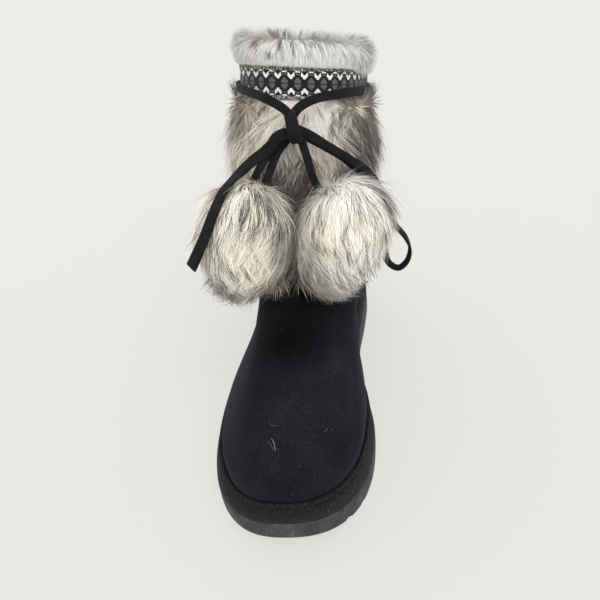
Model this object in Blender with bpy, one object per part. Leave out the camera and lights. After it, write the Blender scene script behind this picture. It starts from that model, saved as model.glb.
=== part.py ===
"""Winter boot for the right foot: suede foot, fur shaft with a woven band, cuff, drawstring and pompoms.

The toe points to -Y, the medial side is +X and the floor is Z = 0. Every size and place in this script is in
millimetres, and MM turns it into Blender's metres where a mesh or curve is made.
"""

import math
import random

import bmesh
import bpy
from mathutils import Vector

MM = 0.001
TOUCH_GAP = 0.3

# Driving dimensions of the sole
SOLE_LENGTH = 264.0
SOLE_WALL = 17.0
TOE_SPRING, TOE_LIFT = 8.5, 5.0
TOE_SPRING_FROM = -62.0
HEEL_RISE = 9.0
HEEL_RISE_FROM, HEEL_RISE_TO = 0.0, 80.0
ARCH_HEIGHT = 2.5
ARCH_CENTRE, ARCH_HALF_LENGTH = 24.0, 26.0
HEEL_ROUNDING, HEEL_ROUNDING_FROM = 3.0, 114.0
GROOVE_WIDTH, GROOVE_DEPTH, GROOVE_PITCH = 4.2, 3.6, 10.5
GROOVE_SWEEP = 9.0

# Driving dimensions of the upper, the shaft and what sits on the shaft
UPPER_WALL = 2.8
INSOLE_THICKNESS = 5.0
UPPER_TOP = 122.0
FUR_HEM = 104.0
BAND_LOW, BAND_HIGH = 202.0, 219.0
COLLAR_HEIGHT = 228.0
BAND_THICKNESS = 1.4
FUR_PILE = 5.8
LOCK_LENGTH, LOCK_DROP = 2.6, 4.0
CUFF_LOCK = 1.1
POMPOM_RADIUS, POMPOM_LOCK = 23.6, 4.0
POMPOM_STRETCH = 1.17
CORD_DIAMETER = 5.0

# The shaft leans back, so that its rings sink towards the heel and the medial side, fully from LEAN_TO upwards
LEAN_FROM, LEAN_TO = 124.0, 209.0
SINK_BACK, SINK_INWARDS = 0.17, 0.07
LEAN_PIVOT = (6.0, 5.0)

AROUND = 48
LIFT_FADE = 60.0

# Contours of the last at rising heights, from the sole's edge to the collar: half widths on the medial (in) and
# lateral (out) side, and how far along from the heel they lie, as shares of the contour's length
LAST_COLUMNS = ("height", "toe_y", "heel_y", "heel_half", "waist_in", "waist_out", "ball_in", "ball_out",
                "heel_at", "ball_in_at", "ball_out_at", "shift_x", "toe_power")
LAST_ROWS = (
    (17, -121, 122, 29.0, 26.0, 34.0, 38.5, 44.0, 0.16, 0.75, 0.64, 0.0, 2.45),
    (27, -125, 126, 31.5, 28.5, 36.5, 41.0, 46.0, 0.16, 0.75, 0.64, 0.0, 2.45),
    (37, -126, 128.5, 34.5, 31.0, 36.5, 42.5, 45.0, 0.17, 0.76, 0.64, 0.0, 2.45),
    (47, -123, 129, 36.0, 32.0, 34.5, 41.5, 40.0, 0.18, 0.76, 0.64, 0.0, 2.40),
    (57, -115, 129, 36.5, 32.0, 31.0, 39.0, 34.8, 0.19, 0.75, 0.65, 0.0, 2.35),
    (67, -101, 128, 36.5, 33.0, 29.0, 37.3, 30.2, 0.20, 0.73, 0.66, 0.0, 2.30),
    (78, -77, 126.5, 36.5, 34.0, 29.5, 35.5, 26.5, 0.22, 0.70, 0.70, 0.0, 2.20),
    (91, -46, 124, 37.0, 36.0, 33.5, 34.5, 27.0, 0.25, 0.67, 0.68, 0.0, 2.10),
    (106, -19, 121, 37.5, 38.0, 36.5, 36.0, 32.5, 0.30, 0.64, 0.64, 0.0, 2.10),
    (124, -1, 119, 38.0, 39.5, 39.0, 37.5, 37.5, 0.36, 0.63, 0.63, 0.0, 2.10),
    (165, 2, 120, 38.0, 40.0, 40.0, 38.0, 38.0, 0.38, 0.62, 0.62, 3.0, 2.10),
    (205, 5, 122, 35.5, 37.5, 37.5, 35.5, 35.5, 0.38, 0.62, 0.62, 6.0, 2.10),
    (240, 5, 121, 34.0, 35.5, 35.5, 34.0, 34.0, 0.38, 0.62, 0.62, 9.5, 2.10),
)
# The sole's outline in the same columns
SOLE_OUTLINE = {
    "toe_y": -SOLE_LENGTH / 2, "heel_y": SOLE_LENGTH / 2, "heel_half": 37.5,
    "waist_in": 33.0, "waist_out": 42.5, "ball_in": 47.0, "ball_out": 52.0,
    "heel_at": 0.17, "ball_in_at": 0.755, "ball_out_at": 0.64, "shift_x": 0.0, "toe_power": 2.45,
}
HEEL_POWER = 2.2

# Heights at which the upper's wall has a section
UPPER_HEIGHTS = (17, 22, 29, 37, 45, 53, 61, 69, 78, 87, 96, FUR_HEM + 1, 110, 116, UPPER_TOP)
# Heights of the rows of fur locks on the shaft, from the band down, and the pile at each as a share of FUR_PILE
FUR_ROWS = ((201.4, 0.25), (198, 0.62), (192, 0.92), (184, 1.0), (175, 1.0), (166, 1.0), (157, 1.0),
            (148, 1.0), (139, 1.0), (130, 1.0), (121, 1.0), (112, 1.0), (FUR_HEM, 0.95))

# Cord routes. Round the shaft: share of the way from back to front, height, stand-off from the last
WRAP_ROUTE = ((0.0, 208.0, 5.0), (0.015, 208.0, 5.0), (0.06, 208.0, 5.0), (0.15, 207.8, 4.8), (0.3, 207.5, 4.7),
              (0.5, 207.2, 4.7), (0.65, 207.0, 4.8), (0.78, 206.8, 5.2), (0.87, 206.6, 5.8), (0.93, 206.2, 7.4))
CROSSING_OVER = ((-6.0, -7.6, 205.6), (4.0, -11.6, 202.8), (11.2, -13.6, 199.6))
CROSSING_UNDER = ((20.0, -4.6, 204.0), (11.5, -7.4, 202.4), (4.4, -8.2, 200.0))
TAIL_ROUTE = ((0.4, -13.5, 190.2), (-7, -15.5, 184.6), (-14, -20, 179.2), (-21, -29, 174.2), (-26.6, -43, 170.4),
              (-31.6, -53.6, 162.2), (-36.4, -59, 152.8), (-41.6, -60.6, 144), (-46.4, -60, 136))
LOOP_ROUTE = ((16.3, -11.5, 191.2), (22, -10, 187), (34, -6, 175.5), (48, -1, 160), (55, 0, 145), (61, 0, 129),
              (67.5, 0, 120), (70.3, 0, 112), (68.5, 0, 103), (63, 0, 98), (57, 0, 102), (54, 0, 112),
              (51.5, 0, 126), (47, -1, 142), (40, -3, 155), (27, -8.5, 172), (16.2, -10.8, 183.2))
KNOT_CENTRE, KNOT_RADII = (8.0, -11.0, 189.4), (7.0, 5.2, 8.0)
POMPOMS = {
    "pompom_lateral": {"centre": (-23, -36, 134.5), "string_from": (3.8, -12, 182.4), "top": (-11, -25, 165)},
    "pompom_medial": {"centre": (35, -36, 135), "string_from": (11.2, -11.8, 181.8), "top": (22.5, -25, 164)},
}

COLOURS = {
    "rubber": ((0.055, 0.056, 0.060), 0.75),
    "suede": ((0.016, 0.017, 0.021), 0.95),
    "twill": ((0.020, 0.021, 0.025), 0.90),
    "fur": ((0.52, 0.48, 0.41), 0.95),
    "white_fur": ((0.80, 0.78, 0.72), 0.95),
    "woven": ((0.11, 0.11, 0.12), 0.85),
    "cord": ((0.018, 0.018, 0.021), 0.85),
    "felt": ((0.030, 0.030, 0.033), 0.95),
}


def clear_scene():
    for obj in list(bpy.data.objects):
        bpy.data.objects.remove(obj)


def new_collection(name):
    collection = bpy.data.collections.new(name)
    bpy.context.scene.collection.children.link(collection)
    return collection


def make_materials():
    """One Principled material for each stuff that the boot is made of."""
    made = {}
    for name, (colour, roughness) in COLOURS.items():
        material = bpy.data.materials.new(name)
        material.use_nodes = True
        shader = material.node_tree.nodes["Principled BSDF"]
        shader.inputs["Base Color"].default_value = (*colour, 1)
        shader.inputs["Roughness"].default_value = roughness
        shader.inputs["Metallic"].default_value = 0.0
        made[name] = material
    return made


def smooth(t):
    """0 to 1 with level ends."""
    t = min(1.0, max(0.0, t))
    return t * t * (3 - 2 * t)


def curve_through(knots, values, x):
    """The smooth curve through (knot, value) pairs at x, by cubic pieces with matching slopes."""
    last = len(knots) - 1
    i = max(k for k in range(last) if k == 0 or knots[k] <= x)

    def slope(k):
        low, high = max(0, k - 1), min(last, k + 1)
        return (values[high] - values[low]) / (knots[high] - knots[low])

    span = knots[i + 1] - knots[i]
    t = (x - knots[i]) / span
    a, b = values[i], values[i + 1]
    rise = 3 * (b - a) - span * (2 * slope(i) + slope(i + 1))
    turn = 2 * (a - b) + span * (slope(i) + slope(i + 1))
    return a + t * (span * slope(i) + t * (rise + t * turn))


def last_section(height):
    """The last's columns at a height, by name."""
    heights = [row[0] for row in LAST_ROWS]
    return {
        name: curve_through(heights, [row[k] for row in LAST_ROWS], height)
        for k, name in enumerate(LAST_COLUMNS)
    }


def half_width(along, heel, waist, ball, heel_at, ball_at, toe_power):
    """Half width of a foot contour, round at the heel, waisted at the arch, full at the ball, round in front."""
    waist_at = (heel_at + ball_at) / 2
    if along <= heel_at:
        back = (heel_at - along) / heel_at
        return heel * max(0.0, 1 - back**HEEL_POWER) ** (1 / HEEL_POWER)
    if along <= waist_at:
        return heel + (waist - heel) * smooth((along - heel_at) / (waist_at - heel_at))
    if along <= ball_at:
        return waist + (ball - waist) * smooth((along - waist_at) / (ball_at - waist_at))
    front = (along - ball_at) / (1 - ball_at)
    return ball * max(0.0, 1 - front**toe_power) ** (1 / toe_power)


def contour_point(section, side, along):
    """(x, y) on a contour. side is 1 medial or -1 lateral, along runs from 0 at the heel to 1 at the toe."""
    end = "in" if side > 0 else "out"
    width = half_width(along, section["heel_half"], section["waist_" + end], section["ball_" + end],
                       section["heel_at"], section["ball_" + end + "_at"], section["toe_power"])
    y = section["heel_y"] + (section["toe_y"] - section["heel_y"]) * along
    return section["shift_x"] + side * width, y


def contour(section, count):
    """Points of a closed contour, from the heel by the medial side to the toe and back by the lateral side."""
    half = count // 2
    share = [(1 - math.cos(math.pi * k / half)) / 2 for k in range(half + 1)]
    medial = [contour_point(section, 1, a) for a in share[:-1]]
    lateral = [contour_point(section, -1, a) for a in reversed(share[1:])]
    return medial + lateral


def bottom_at(y):
    """Height of the tread's lowest face: flat at heel and forefoot, raised at arch, toe and heel's end."""
    toe = max(0.0, (TOE_SPRING_FROM - y) / (TOE_SPRING_FROM + SOLE_LENGTH / 2))
    heel = max(0.0, (y - HEEL_ROUNDING_FROM) / (SOLE_LENGTH / 2 - HEEL_ROUNDING_FROM))
    arch = max(0.0, 1 - abs(y - ARCH_CENTRE) / ARCH_HALF_LENGTH)
    return TOE_SPRING * toe**2 + HEEL_ROUNDING * heel**2 + ARCH_HEIGHT * smooth(arch)


def sole_top_at(y):
    """Height of the sole's upper face, which follows the toe spring and rises to the heel."""
    toe = max(0.0, (TOE_SPRING_FROM - y) / (TOE_SPRING_FROM + SOLE_LENGTH / 2))
    heel = smooth((y - HEEL_RISE_FROM) / (HEEL_RISE_TO - HEEL_RISE_FROM))
    return SOLE_WALL + TOE_LIFT * toe**2 + HEEL_RISE * heel


def sink(x, y, height):
    """How far the leaning shaft's ring lies below its height in front."""
    share = smooth((height - LEAN_FROM) / (LEAN_TO - LEAN_FROM))
    return share * (SINK_INWARDS * (x - LEAN_PIVOT[0]) + SINK_BACK * (y - LEAN_PIVOT[1]))


def last_ring(height, count, stand_off=0.0):
    """Points round the last at a nominal height, moved outwards by stand_off.

    Near the sole they are lifted with it, and near the collar they sink with the shaft's lean.
    """
    flat = contour(last_section(height), count)
    lift_share = 1 - smooth((height - SOLE_WALL) / LIFT_FADE)
    ring = []
    for k, (x, y) in enumerate(flat):
        before, after = flat[k - 1], flat[(k + 1) % count]
        out = Vector((after[1] - before[1], before[0] - after[0])).normalized() * -1
        lift = (sole_top_at(y) - SOLE_WALL) * lift_share - sink(x, y, height)
        ring.append(Vector((x + out.x * stand_off, y + out.y * stand_off, height + lift)))
    return ring


def shaft_point(side, along, height, stand_off):
    """A point off the shaft's surface, at a share of the way from back to front on one side."""
    section = last_section(height)
    step = 0.002
    low, high = max(0.0, along - step), min(1.0, along + step)
    x, y = contour_point(section, side, along)
    x0, y0 = contour_point(section, side, low)
    x1, y1 = contour_point(section, side, high)
    out = Vector((y0 - y1, x1 - x0)).normalized() * side
    if along in (0.0, 1.0):
        out = Vector((0.0, 1.0 if along == 0.0 else -1.0))
    return Vector((x + out.x * stand_off, y + out.y * stand_off, height - sink(x, y, height)))


def offset_rings(rings, distance):
    """The same rings moved along the surface's normals; the end rings keep their heights."""
    count = len(rings[0])
    moved = []
    for r, ring in enumerate(rings):
        below, above = rings[max(0, r - 1)], rings[min(len(rings) - 1, r + 1)]
        new = []
        for k, point in enumerate(ring):
            along = ring[(k + 1) % count] - ring[k - 1]
            up = above[k] - below[k]
            normal = up.cross(along).normalized()
            spot = point - normal * distance
            if r in (0, len(rings) - 1):
                spot.z = point.z
            new.append(spot)
        moved.append(new)
    return moved


def mesh_object(name, mesh_maker, material, collection, place=(0, 0, 0)):
    """An object at a place, whose mesh is filled by mesh_maker, in millimetres, with its normals facing out."""
    shape = bmesh.new()
    mesh_maker(shape)
    bmesh.ops.recalc_face_normals(shape, faces=shape.faces)
    bmesh.ops.scale(shape, vec=(MM, MM, MM), verts=shape.verts)
    mesh = bpy.data.meshes.new(name)
    shape.to_mesh(mesh)
    shape.free()
    mesh.shade_smooth()
    mesh.set_sharp_from_angle(angle=math.radians(40))
    mesh.materials.append(material)
    obj = bpy.data.objects.new(name, mesh)
    obj.location = Vector(place) * MM
    collection.objects.link(obj)
    return obj


def ring_solid(loops, fur=False):
    """A mesh maker for a tube round the boot: the loops follow its wall's section right round.

    On fur every other point is a lock's tip, and each tip gets a pyramid of its own: the faces are split along
    the line between the two points that aren't tips.
    """
    def fill(shape):
        grid = [[shape.verts.new(point) for point in loop] for loop in loops]
        for row, loop in enumerate(grid):
            following = grid[(row + 1) % len(grid)]
            for k in range(len(loop)):
                after = (k + 1) % len(loop)
                corners = [loop[k], loop[after], following[after], following[k]]
                if not fur:
                    shape.faces.new(corners)
                    continue
                a, b, c, d = corners if is_lock_tip(row, k) else corners[1:] + corners[:1]
                shape.faces.new((a, b, d))
                shape.faces.new((b, c, d))
    return fill


def is_lock_tip(row, column):
    return (row + column) % 2 == 0


def plate_solid(loops):
    """A mesh maker for a plate: rings from its lower to its upper face, closed by strips across its width."""
    def fill(shape):
        grid = [[shape.verts.new(point) for point in loop] for loop in loops]
        count = len(grid[0])
        for low, high in zip(grid, grid[1:]):
            for k in range(count):
                after = (k + 1) % count
                shape.faces.new((low[k], low[after], high[after], high[k]))
        for loop in (grid[0], grid[-1]):
            for k in range(count // 2):
                ends = (loop[k], loop[k + 1], loop[-k - 1], loop[-k % count])
                shape.faces.new(list(dict.fromkeys(ends)))
    return fill


def sole_ring(inset, height_at):
    flat = contour(SOLE_OUTLINE, AROUND)
    ring = []
    for k, (x, y) in enumerate(flat):
        before, after = flat[k - 1], flat[(k + 1) % AROUND]
        inwards = Vector((after[1] - before[1], before[0] - after[0])).normalized()
        ring.append(Vector((x + inwards.x * inset, y + inwards.y * inset, height_at(y))))
    return ring


def make_outsole(materials, parts, cutters):
    """Moulded sole with its arch, toe spring and bowed wall, and grooves that leave the lugs standing."""
    wall_rows = ((0.0, 2.2), (0.12, 0.9), (0.45, 0.0), (0.85, 0.2), (1.0, 1.3))
    loops = [
        sole_ring(inset, lambda y, s=share: bottom_at(y) + (sole_top_at(y) - bottom_at(y)) * s)
        for share, inset in wall_rows
    ]
    outsole = mesh_object("outsole", plate_solid(loops), materials["rubber"], parts)

    def fill_grooves(shape):
        first, last = -SOLE_LENGTH / 2 + GROOVE_PITCH, SOLE_LENGTH / 2 - GROOVE_PITCH
        for n in range(int((last - first) / GROOVE_PITCH) + 1):
            y = first + n * GROOVE_PITCH
            for side in (1, -1):
                bar = bmesh.ops.create_cube(shape, size=1)["verts"]
                for vert in bar:
                    x = 0.4 if vert.co.x * side < 0 else 70.0
                    sweep = GROOVE_SWEEP * x / 70.0
                    z = bottom_at(y) + GROOVE_DEPTH if vert.co.z > 0 else -5.0
                    vert.co = (side * x, y + sweep + vert.co.y * GROOVE_WIDTH, z)
    grooves = mesh_object("groove_cutter", fill_grooves, materials["rubber"], cutters)
    grooves.hide_render = True
    grooves.display_type = "WIRE"
    cut = outsole.modifiers.new("grooves", "BOOLEAN")
    cut.operation = "DIFFERENCE"
    cut.object = grooves


def make_upper(materials, parts):
    """Suede foot: one hollow wall from the sole's edge to the ankle, open above and below."""
    outer = [last_ring(height, AROUND) for height in UPPER_HEIGHTS]
    for point in outer[0]:
        point.z += TOUCH_GAP
    inner = offset_rings(outer, UPPER_WALL)
    mesh_object("upper", ring_solid(outer + inner[::-1]), materials["suede"], parts)
    return inner


def make_welt(materials, parts):
    """Twill-covered band that rises from the sole's edge and leans in on the upper."""
    def at_height(height, stand_off):
        return last_ring(height, AROUND, stand_off)

    def at_sole(inset, rise):
        return sole_ring(inset, lambda y: sole_top_at(y) + rise)

    gap = TOUCH_GAP + 0.1
    loops = [at_sole(1.9, TOUCH_GAP), at_sole(0.6, 1.5), at_sole(1.4, 5.5), at_sole(3.2, 8.8),
             at_height(27.2, 2.2), at_height(27.8, gap), at_height(22, gap), at_height(17.4, gap)]
    mesh_object("welt", ring_solid(loops), materials["twill"], parts)


def make_insole(materials, parts, upper_inner):
    """Footbed that lies on the sole inside the upper."""
    first, second = upper_inner[0], upper_inner[1]
    centre_x = sum(point.x for point in first) / len(first)

    def edge(ring, rise):
        loop = []
        for point in ring:
            inwards = Vector((centre_x - point.x, -point.y * 0.05, 0)).normalized() * 0.9
            loop.append(Vector((point.x + inwards.x, point.y * 0.992, sole_top_at(point.y) + rise)))
        return loop

    loops = [edge(first, TOUCH_GAP), edge(second, INSOLE_THICKNESS)]
    mesh_object("insole", plate_solid(loops), materials["felt"], parts)


def make_shaft(materials, parts):
    """Fur shaft: backing that stands on the upper's edge, with rows of fur locks outside it down to the hem."""
    chance = random.Random(4)
    inside = [last_ring(h, AROUND, -UPPER_WALL) for h in (UPPER_TOP + TOUCH_GAP, 145, 175, 205, COLLAR_HEIGHT)]
    backing = [last_ring(h, AROUND) for h in (COLLAR_HEIGHT, BAND_HIGH, BAND_LOW)]
    locks = []
    for row, (height, share) in enumerate(FUR_ROWS, len(inside) + len(backing)):
        ring = last_ring(height, AROUND, FUR_PILE * share)
        tips = last_ring(height, AROUND, FUR_PILE * share + LOCK_LENGTH * share)
        for k in range(AROUND):
            drop = LOCK_DROP * share * chance.uniform(0.7, 1.3)
            if is_lock_tip(row, k) and locks:
                ring[k] = tips[k] - Vector((0, 0, drop))
        locks.append(ring)
    hem_gap = TOUCH_GAP + 0.3
    hem = [last_ring(h, AROUND, hem_gap) for h in (FUR_HEM + 1, 110, 116)]
    step = last_ring(UPPER_TOP + TOUCH_GAP, AROUND, hem_gap)
    loops = inside + backing + locks + hem + [step]
    mesh_object("shaft", ring_solid(loops, fur=True), materials["fur"], parts)


def make_band(materials, parts):
    """Woven ribbon round the shaft above the fur."""
    low, high = BAND_LOW + TOUCH_GAP, BAND_HIGH - TOUCH_GAP
    middle, outside = (low + high) / 2, TOUCH_GAP + BAND_THICKNESS
    section = ((low, TOUCH_GAP), (high, TOUCH_GAP), (high, outside), (middle, outside), (low, outside))
    loops = [last_ring(height, AROUND, stand_off) for height, stand_off in section]
    mesh_object("woven_band", ring_solid(loops), materials["woven"], parts)


def make_cuff(materials, parts):
    """Short white fur rolled over the collar's edge."""
    chance = random.Random(9)
    roll = ((BAND_HIGH + TOUCH_GAP, TOUCH_GAP, 0), (BAND_HIGH + 0.4, 3.2, 1), (BAND_HIGH + 4, 4.6, 1),
            (BAND_HIGH + 8, 4.8, 1), (BAND_HIGH + 11.6, 3.6, 1), (COLLAR_HEIGHT + 4.6, 1.0, 1),
            (COLLAR_HEIGHT + 4.4, -2.2, 0), (COLLAR_HEIGHT + 1.6, -3.4, 0),
            (COLLAR_HEIGHT + TOUCH_GAP, -2.6, 0), (COLLAR_HEIGHT + TOUCH_GAP, TOUCH_GAP, 0))
    loops = []
    for row, (height, stand_off, is_fur) in enumerate(roll):
        ring = last_ring(height, AROUND, stand_off)
        tips = last_ring(height, AROUND, stand_off + CUFF_LOCK)
        for k in range(AROUND):
            if is_fur and is_lock_tip(row, k):
                ring[k] = tips[k] + Vector((0, 0, chance.uniform(-0.5, 0.5)))
        loops.append(ring)
    mesh_object("cuff", ring_solid(loops, fur=True), materials["white_fur"], parts)


def smooth_route(points, spacing):
    """Points at about this spacing on the smooth curve through a route's own points."""
    route = [Vector(p) for p in points]
    at = [0.0]
    for a, b in zip(route, route[1:]):
        at.append(at[-1] + (b - a).length)
    count = max(2, round(at[-1] / spacing))
    return [
        Vector(curve_through(at, [p[axis] for p in route], at[-1] * n / count) for axis in range(3))
        for n in range(count + 1)
    ]


def cord(name, points, material, collection, spacing=2 * CORD_DIAMETER):
    """A round cord with closed ends along a route."""
    data = bpy.data.curves.new(name, "CURVE")
    data.dimensions = "3D"
    data.bevel_depth = CORD_DIAMETER / 2 * MM
    data.bevel_resolution = 2
    data.use_fill_caps = True
    route = smooth_route(points, spacing)
    spline = data.splines.new("POLY")
    spline.points.add(len(route) - 1)
    for spot, point in zip(spline.points, route):
        spot.co = (*(point * MM), 1)
    data.materials.append(material)
    obj = bpy.data.objects.new(name, data)
    collection.objects.link(obj)
    return obj


def make_drawstring(materials, parts):
    """Cord that lies on the band round the shaft and crosses in front, with its knot, loop and tail."""
    lateral = [shaft_point(-1, *row) for row in WRAP_ROUTE]
    medial = [shaft_point(1, *row) for row in WRAP_ROUTE]
    over = [Vector(p) for p in CROSSING_OVER]
    under = [Vector(p) for p in CROSSING_UNDER]
    cord("drawstring", over[::-1] + lateral[::-1] + medial[1:] + under, materials["cord"], parts)

    def fill_knot(shape):
        bmesh.ops.create_uvsphere(shape, u_segments=14, v_segments=10, radius=1)
        bmesh.ops.scale(shape, vec=KNOT_RADII, verts=shape.verts)
    mesh_object("bow_knot", fill_knot, materials["cord"], parts, KNOT_CENTRE)
    cord("bow_tail", TAIL_ROUTE, materials["cord"], parts)
    cord("bow_loop", LOOP_ROUTE, materials["cord"], parts, spacing=1.5 * CORD_DIAMETER)


def make_pompom(name, centre, string_from, top, materials, parts):
    """Fur ball, taller than wide, whose locks stand out all round, hung on a string from the knot."""
    chance = random.Random(name)
    centre, start = Vector(centre), Vector(string_from)
    pole = (Vector(top) - centre).normalized()
    columns, rows = 20, 12

    def stretched(spot):
        return Vector((spot.x, spot.y, spot.z * POMPOM_STRETCH))

    def fill(shape):
        made = bmesh.ops.create_uvsphere(shape, u_segments=columns, v_segments=rows, radius=1)["verts"]
        turn = Vector((0, 0, 1)).rotation_difference(pole)
        for vert in made:
            tilt = math.acos(max(-1.0, min(1.0, vert.co.z)))
            row = round(tilt / math.pi * rows)
            column = round(math.atan2(vert.co.y, vert.co.x) / (2 * math.pi) * columns)
            reach = POMPOM_RADIUS
            if is_lock_tip(row, column) and 1 < row < rows:
                reach += POMPOM_LOCK * chance.uniform(0.7, 1.1)
            vert.co = stretched(turn @ (vert.co * reach))
        bmesh.ops.triangulate(shape, faces=shape.faces, quad_method="SHORT_EDGE")
    mesh_object(name, fill, materials["white_fur"], parts, centre)
    end = centre + stretched(pole * (POMPOM_RADIUS + TOUCH_GAP))
    middle = centre + stretched(pole * (POMPOM_RADIUS + 5))
    cord(name + "_string", (start, middle, end), materials["cord"], parts, spacing=CORD_DIAMETER)


def main():
    clear_scene()
    parts = new_collection("winter_boot")
    cutters = new_collection("cutters")
    materials = make_materials()
    make_outsole(materials, parts, cutters)
    upper_inner = make_upper(materials, parts)
    make_welt(materials, parts)
    make_insole(materials, parts, upper_inner)
    make_shaft(materials, parts)
    make_band(materials, parts)
    make_cuff(materials, parts)
    make_drawstring(materials, parts)
    for name, place in POMPOMS.items():
        make_pompom(name, place["centre"], place["string_from"], place["top"], materials, parts)
    boot = bpy.data.objects.new("boot", None)
    parts.objects.link(boot)
    for obj in parts.objects:
        if obj is not boot:
            obj.parent = boot


main()
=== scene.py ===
"""Looks of the winter boot: suede, twill, foam rubber, woven ribbon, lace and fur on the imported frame.

The toe points to -Y, the medial side is +X and the floor is Z = 0. Sizes and places are in millimetres,
and MM turns them into metres where a mesh is made.
"""

import math

import bmesh
import bpy
import numpy as np
from mathutils import Euler, Matrix, Vector
from mathutils.kdtree import KDTree

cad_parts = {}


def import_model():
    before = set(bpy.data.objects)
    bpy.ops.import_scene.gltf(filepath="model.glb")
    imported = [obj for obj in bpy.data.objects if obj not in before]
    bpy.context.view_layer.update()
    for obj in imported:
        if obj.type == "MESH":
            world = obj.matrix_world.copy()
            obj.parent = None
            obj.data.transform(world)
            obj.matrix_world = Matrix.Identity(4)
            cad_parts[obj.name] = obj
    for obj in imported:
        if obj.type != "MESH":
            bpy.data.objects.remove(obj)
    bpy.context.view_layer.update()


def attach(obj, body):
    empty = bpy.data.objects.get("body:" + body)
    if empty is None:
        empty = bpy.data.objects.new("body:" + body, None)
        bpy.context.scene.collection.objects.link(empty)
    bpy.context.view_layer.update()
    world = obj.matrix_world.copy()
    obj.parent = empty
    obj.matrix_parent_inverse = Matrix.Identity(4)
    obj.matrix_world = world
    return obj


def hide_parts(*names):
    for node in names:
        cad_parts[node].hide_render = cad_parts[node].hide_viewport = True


MM = 0.001
BODY = "root"

# Sizes shared with the solids
SOLE_LENGTH = 264.0
SOLE_WALL = 17.0
TOE_SPRING, TOE_LIFT = 8.5, 5.0
TOE_SPRING_FROM = -62.0
HEEL_RISE = 9.0
HEEL_RISE_FROM, HEEL_RISE_TO = 0.0, 80.0
ARCH_HEIGHT = 2.5
ARCH_CENTRE, ARCH_HALF_LENGTH = 24.0, 26.0
HEEL_ROUNDING, HEEL_ROUNDING_FROM = 3.0, 114.0
GROOVE_WIDTH, GROOVE_DEPTH, GROOVE_PITCH = 4.2, 3.6, 10.5
GROOVE_SWEEP = 9.0
LIFT_FADE = 60.0
UPPER_WALL = 2.8
UPPER_TOP = 122.0
FUR_HEM = 104.0
BAND_LOW, BAND_HIGH = 202.0, 219.0
COLLAR_HEIGHT = 228.0
LEAN_FROM, LEAN_TO = 124.0, 209.0
SINK_BACK, SINK_INWARDS = 0.17, 0.07
LEAN_PIVOT = (6.0, 5.0)

LAST_COLUMNS = ("height", "toe_y", "heel_y", "heel_half", "waist_in", "waist_out", "ball_in", "ball_out",
                "heel_at", "ball_in_at", "ball_out_at", "shift_x", "toe_power")
LAST_ROWS = (
    (17, -121, 122, 29.0, 26.0, 34.0, 38.5, 44.0, 0.16, 0.75, 0.64, 0.0, 2.45),
    (27, -125, 126, 31.5, 28.5, 36.5, 41.0, 46.0, 0.16, 0.75, 0.64, 0.0, 2.45),
    (37, -126, 128.5, 34.5, 31.0, 36.5, 42.5, 45.0, 0.17, 0.76, 0.64, 0.0, 2.45),
    (47, -123, 129, 36.0, 32.0, 34.5, 41.5, 40.0, 0.18, 0.76, 0.64, 0.0, 2.40),
    (57, -115, 129, 36.5, 32.0, 31.0, 39.0, 34.8, 0.19, 0.75, 0.65, 0.0, 2.35),
    (67, -101, 128, 36.5, 33.0, 29.0, 37.3, 30.2, 0.20, 0.73, 0.66, 0.0, 2.30),
    (78, -77, 126.5, 36.5, 34.0, 29.5, 35.5, 26.5, 0.22, 0.70, 0.70, 0.0, 2.20),
    (91, -46, 124, 37.0, 36.0, 33.5, 34.5, 27.0, 0.25, 0.67, 0.68, 0.0, 2.10),
    (106, -19, 121, 37.5, 38.0, 36.5, 36.0, 32.5, 0.30, 0.64, 0.64, 0.0, 2.10),
    (124, -1, 119, 38.0, 39.5, 39.0, 37.5, 37.5, 0.36, 0.63, 0.63, 0.0, 2.10),
    (165, 2, 120, 38.0, 40.0, 40.0, 38.0, 38.0, 0.38, 0.62, 0.62, 3.0, 2.10),
    (205, 5, 122, 35.5, 37.5, 37.5, 35.5, 35.5, 0.38, 0.62, 0.62, 6.0, 2.10),
    (240, 5, 121, 34.0, 35.5, 35.5, 34.0, 34.0, 0.38, 0.62, 0.62, 9.5, 2.10),
)
SOLE_OUTLINE = {
    "toe_y": -SOLE_LENGTH / 2, "heel_y": SOLE_LENGTH / 2, "heel_half": 37.5,
    "waist_in": 33.0, "waist_out": 42.5, "ball_in": 47.0, "ball_out": 52.0,
    "heel_at": 0.17, "ball_in_at": 0.755, "ball_out_at": 0.64, "shift_x": 0.0, "toe_power": 2.45,
}
HEEL_POWER = 2.2

# Lace routes. Round the shaft: share of the way from back to front, height, stand-off from the last
WRAP_ROUTE = ((0.0, 208.0, 2.5), (0.015, 208.0, 2.5), (0.06, 208.0, 2.5), (0.15, 207.8, 2.5),
              (0.3, 207.5, 2.5), (0.5, 207.2, 2.5), (0.65, 207.0, 2.5), (0.78, 206.8, 3.0),
              (0.87, 206.6, 4.2), (0.93, 206.2, 6.0))
CROSSING_OVER = ((-6.0, -7.2, 205.6), (3.4, -11.4, 201.4), (9.0, -12.8, 195.4))
CROSSING_UNDER = ((20.0, -4.6, 204.2), (11.5, -8.8, 201.0), (6.0, -10.6, 195.0))
TAIL_ROUTE = ((8, -14.5, 188.4), (3.4, -16.6, 189.6), (-0.8, -17.2, 187.8), (-4.4, -17.4, 183.6),
              (-8.6, -18, 180.4), (-14, -21.0, 177.4), (-20.2, -29, 173.4), (-25.2, -43, 170.2),
              (-29.4, -54.2, 162.2), (-33.8, -60, 152.8), (-39.0, -62, 144), (-44.0, -61.5, 136))
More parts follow.
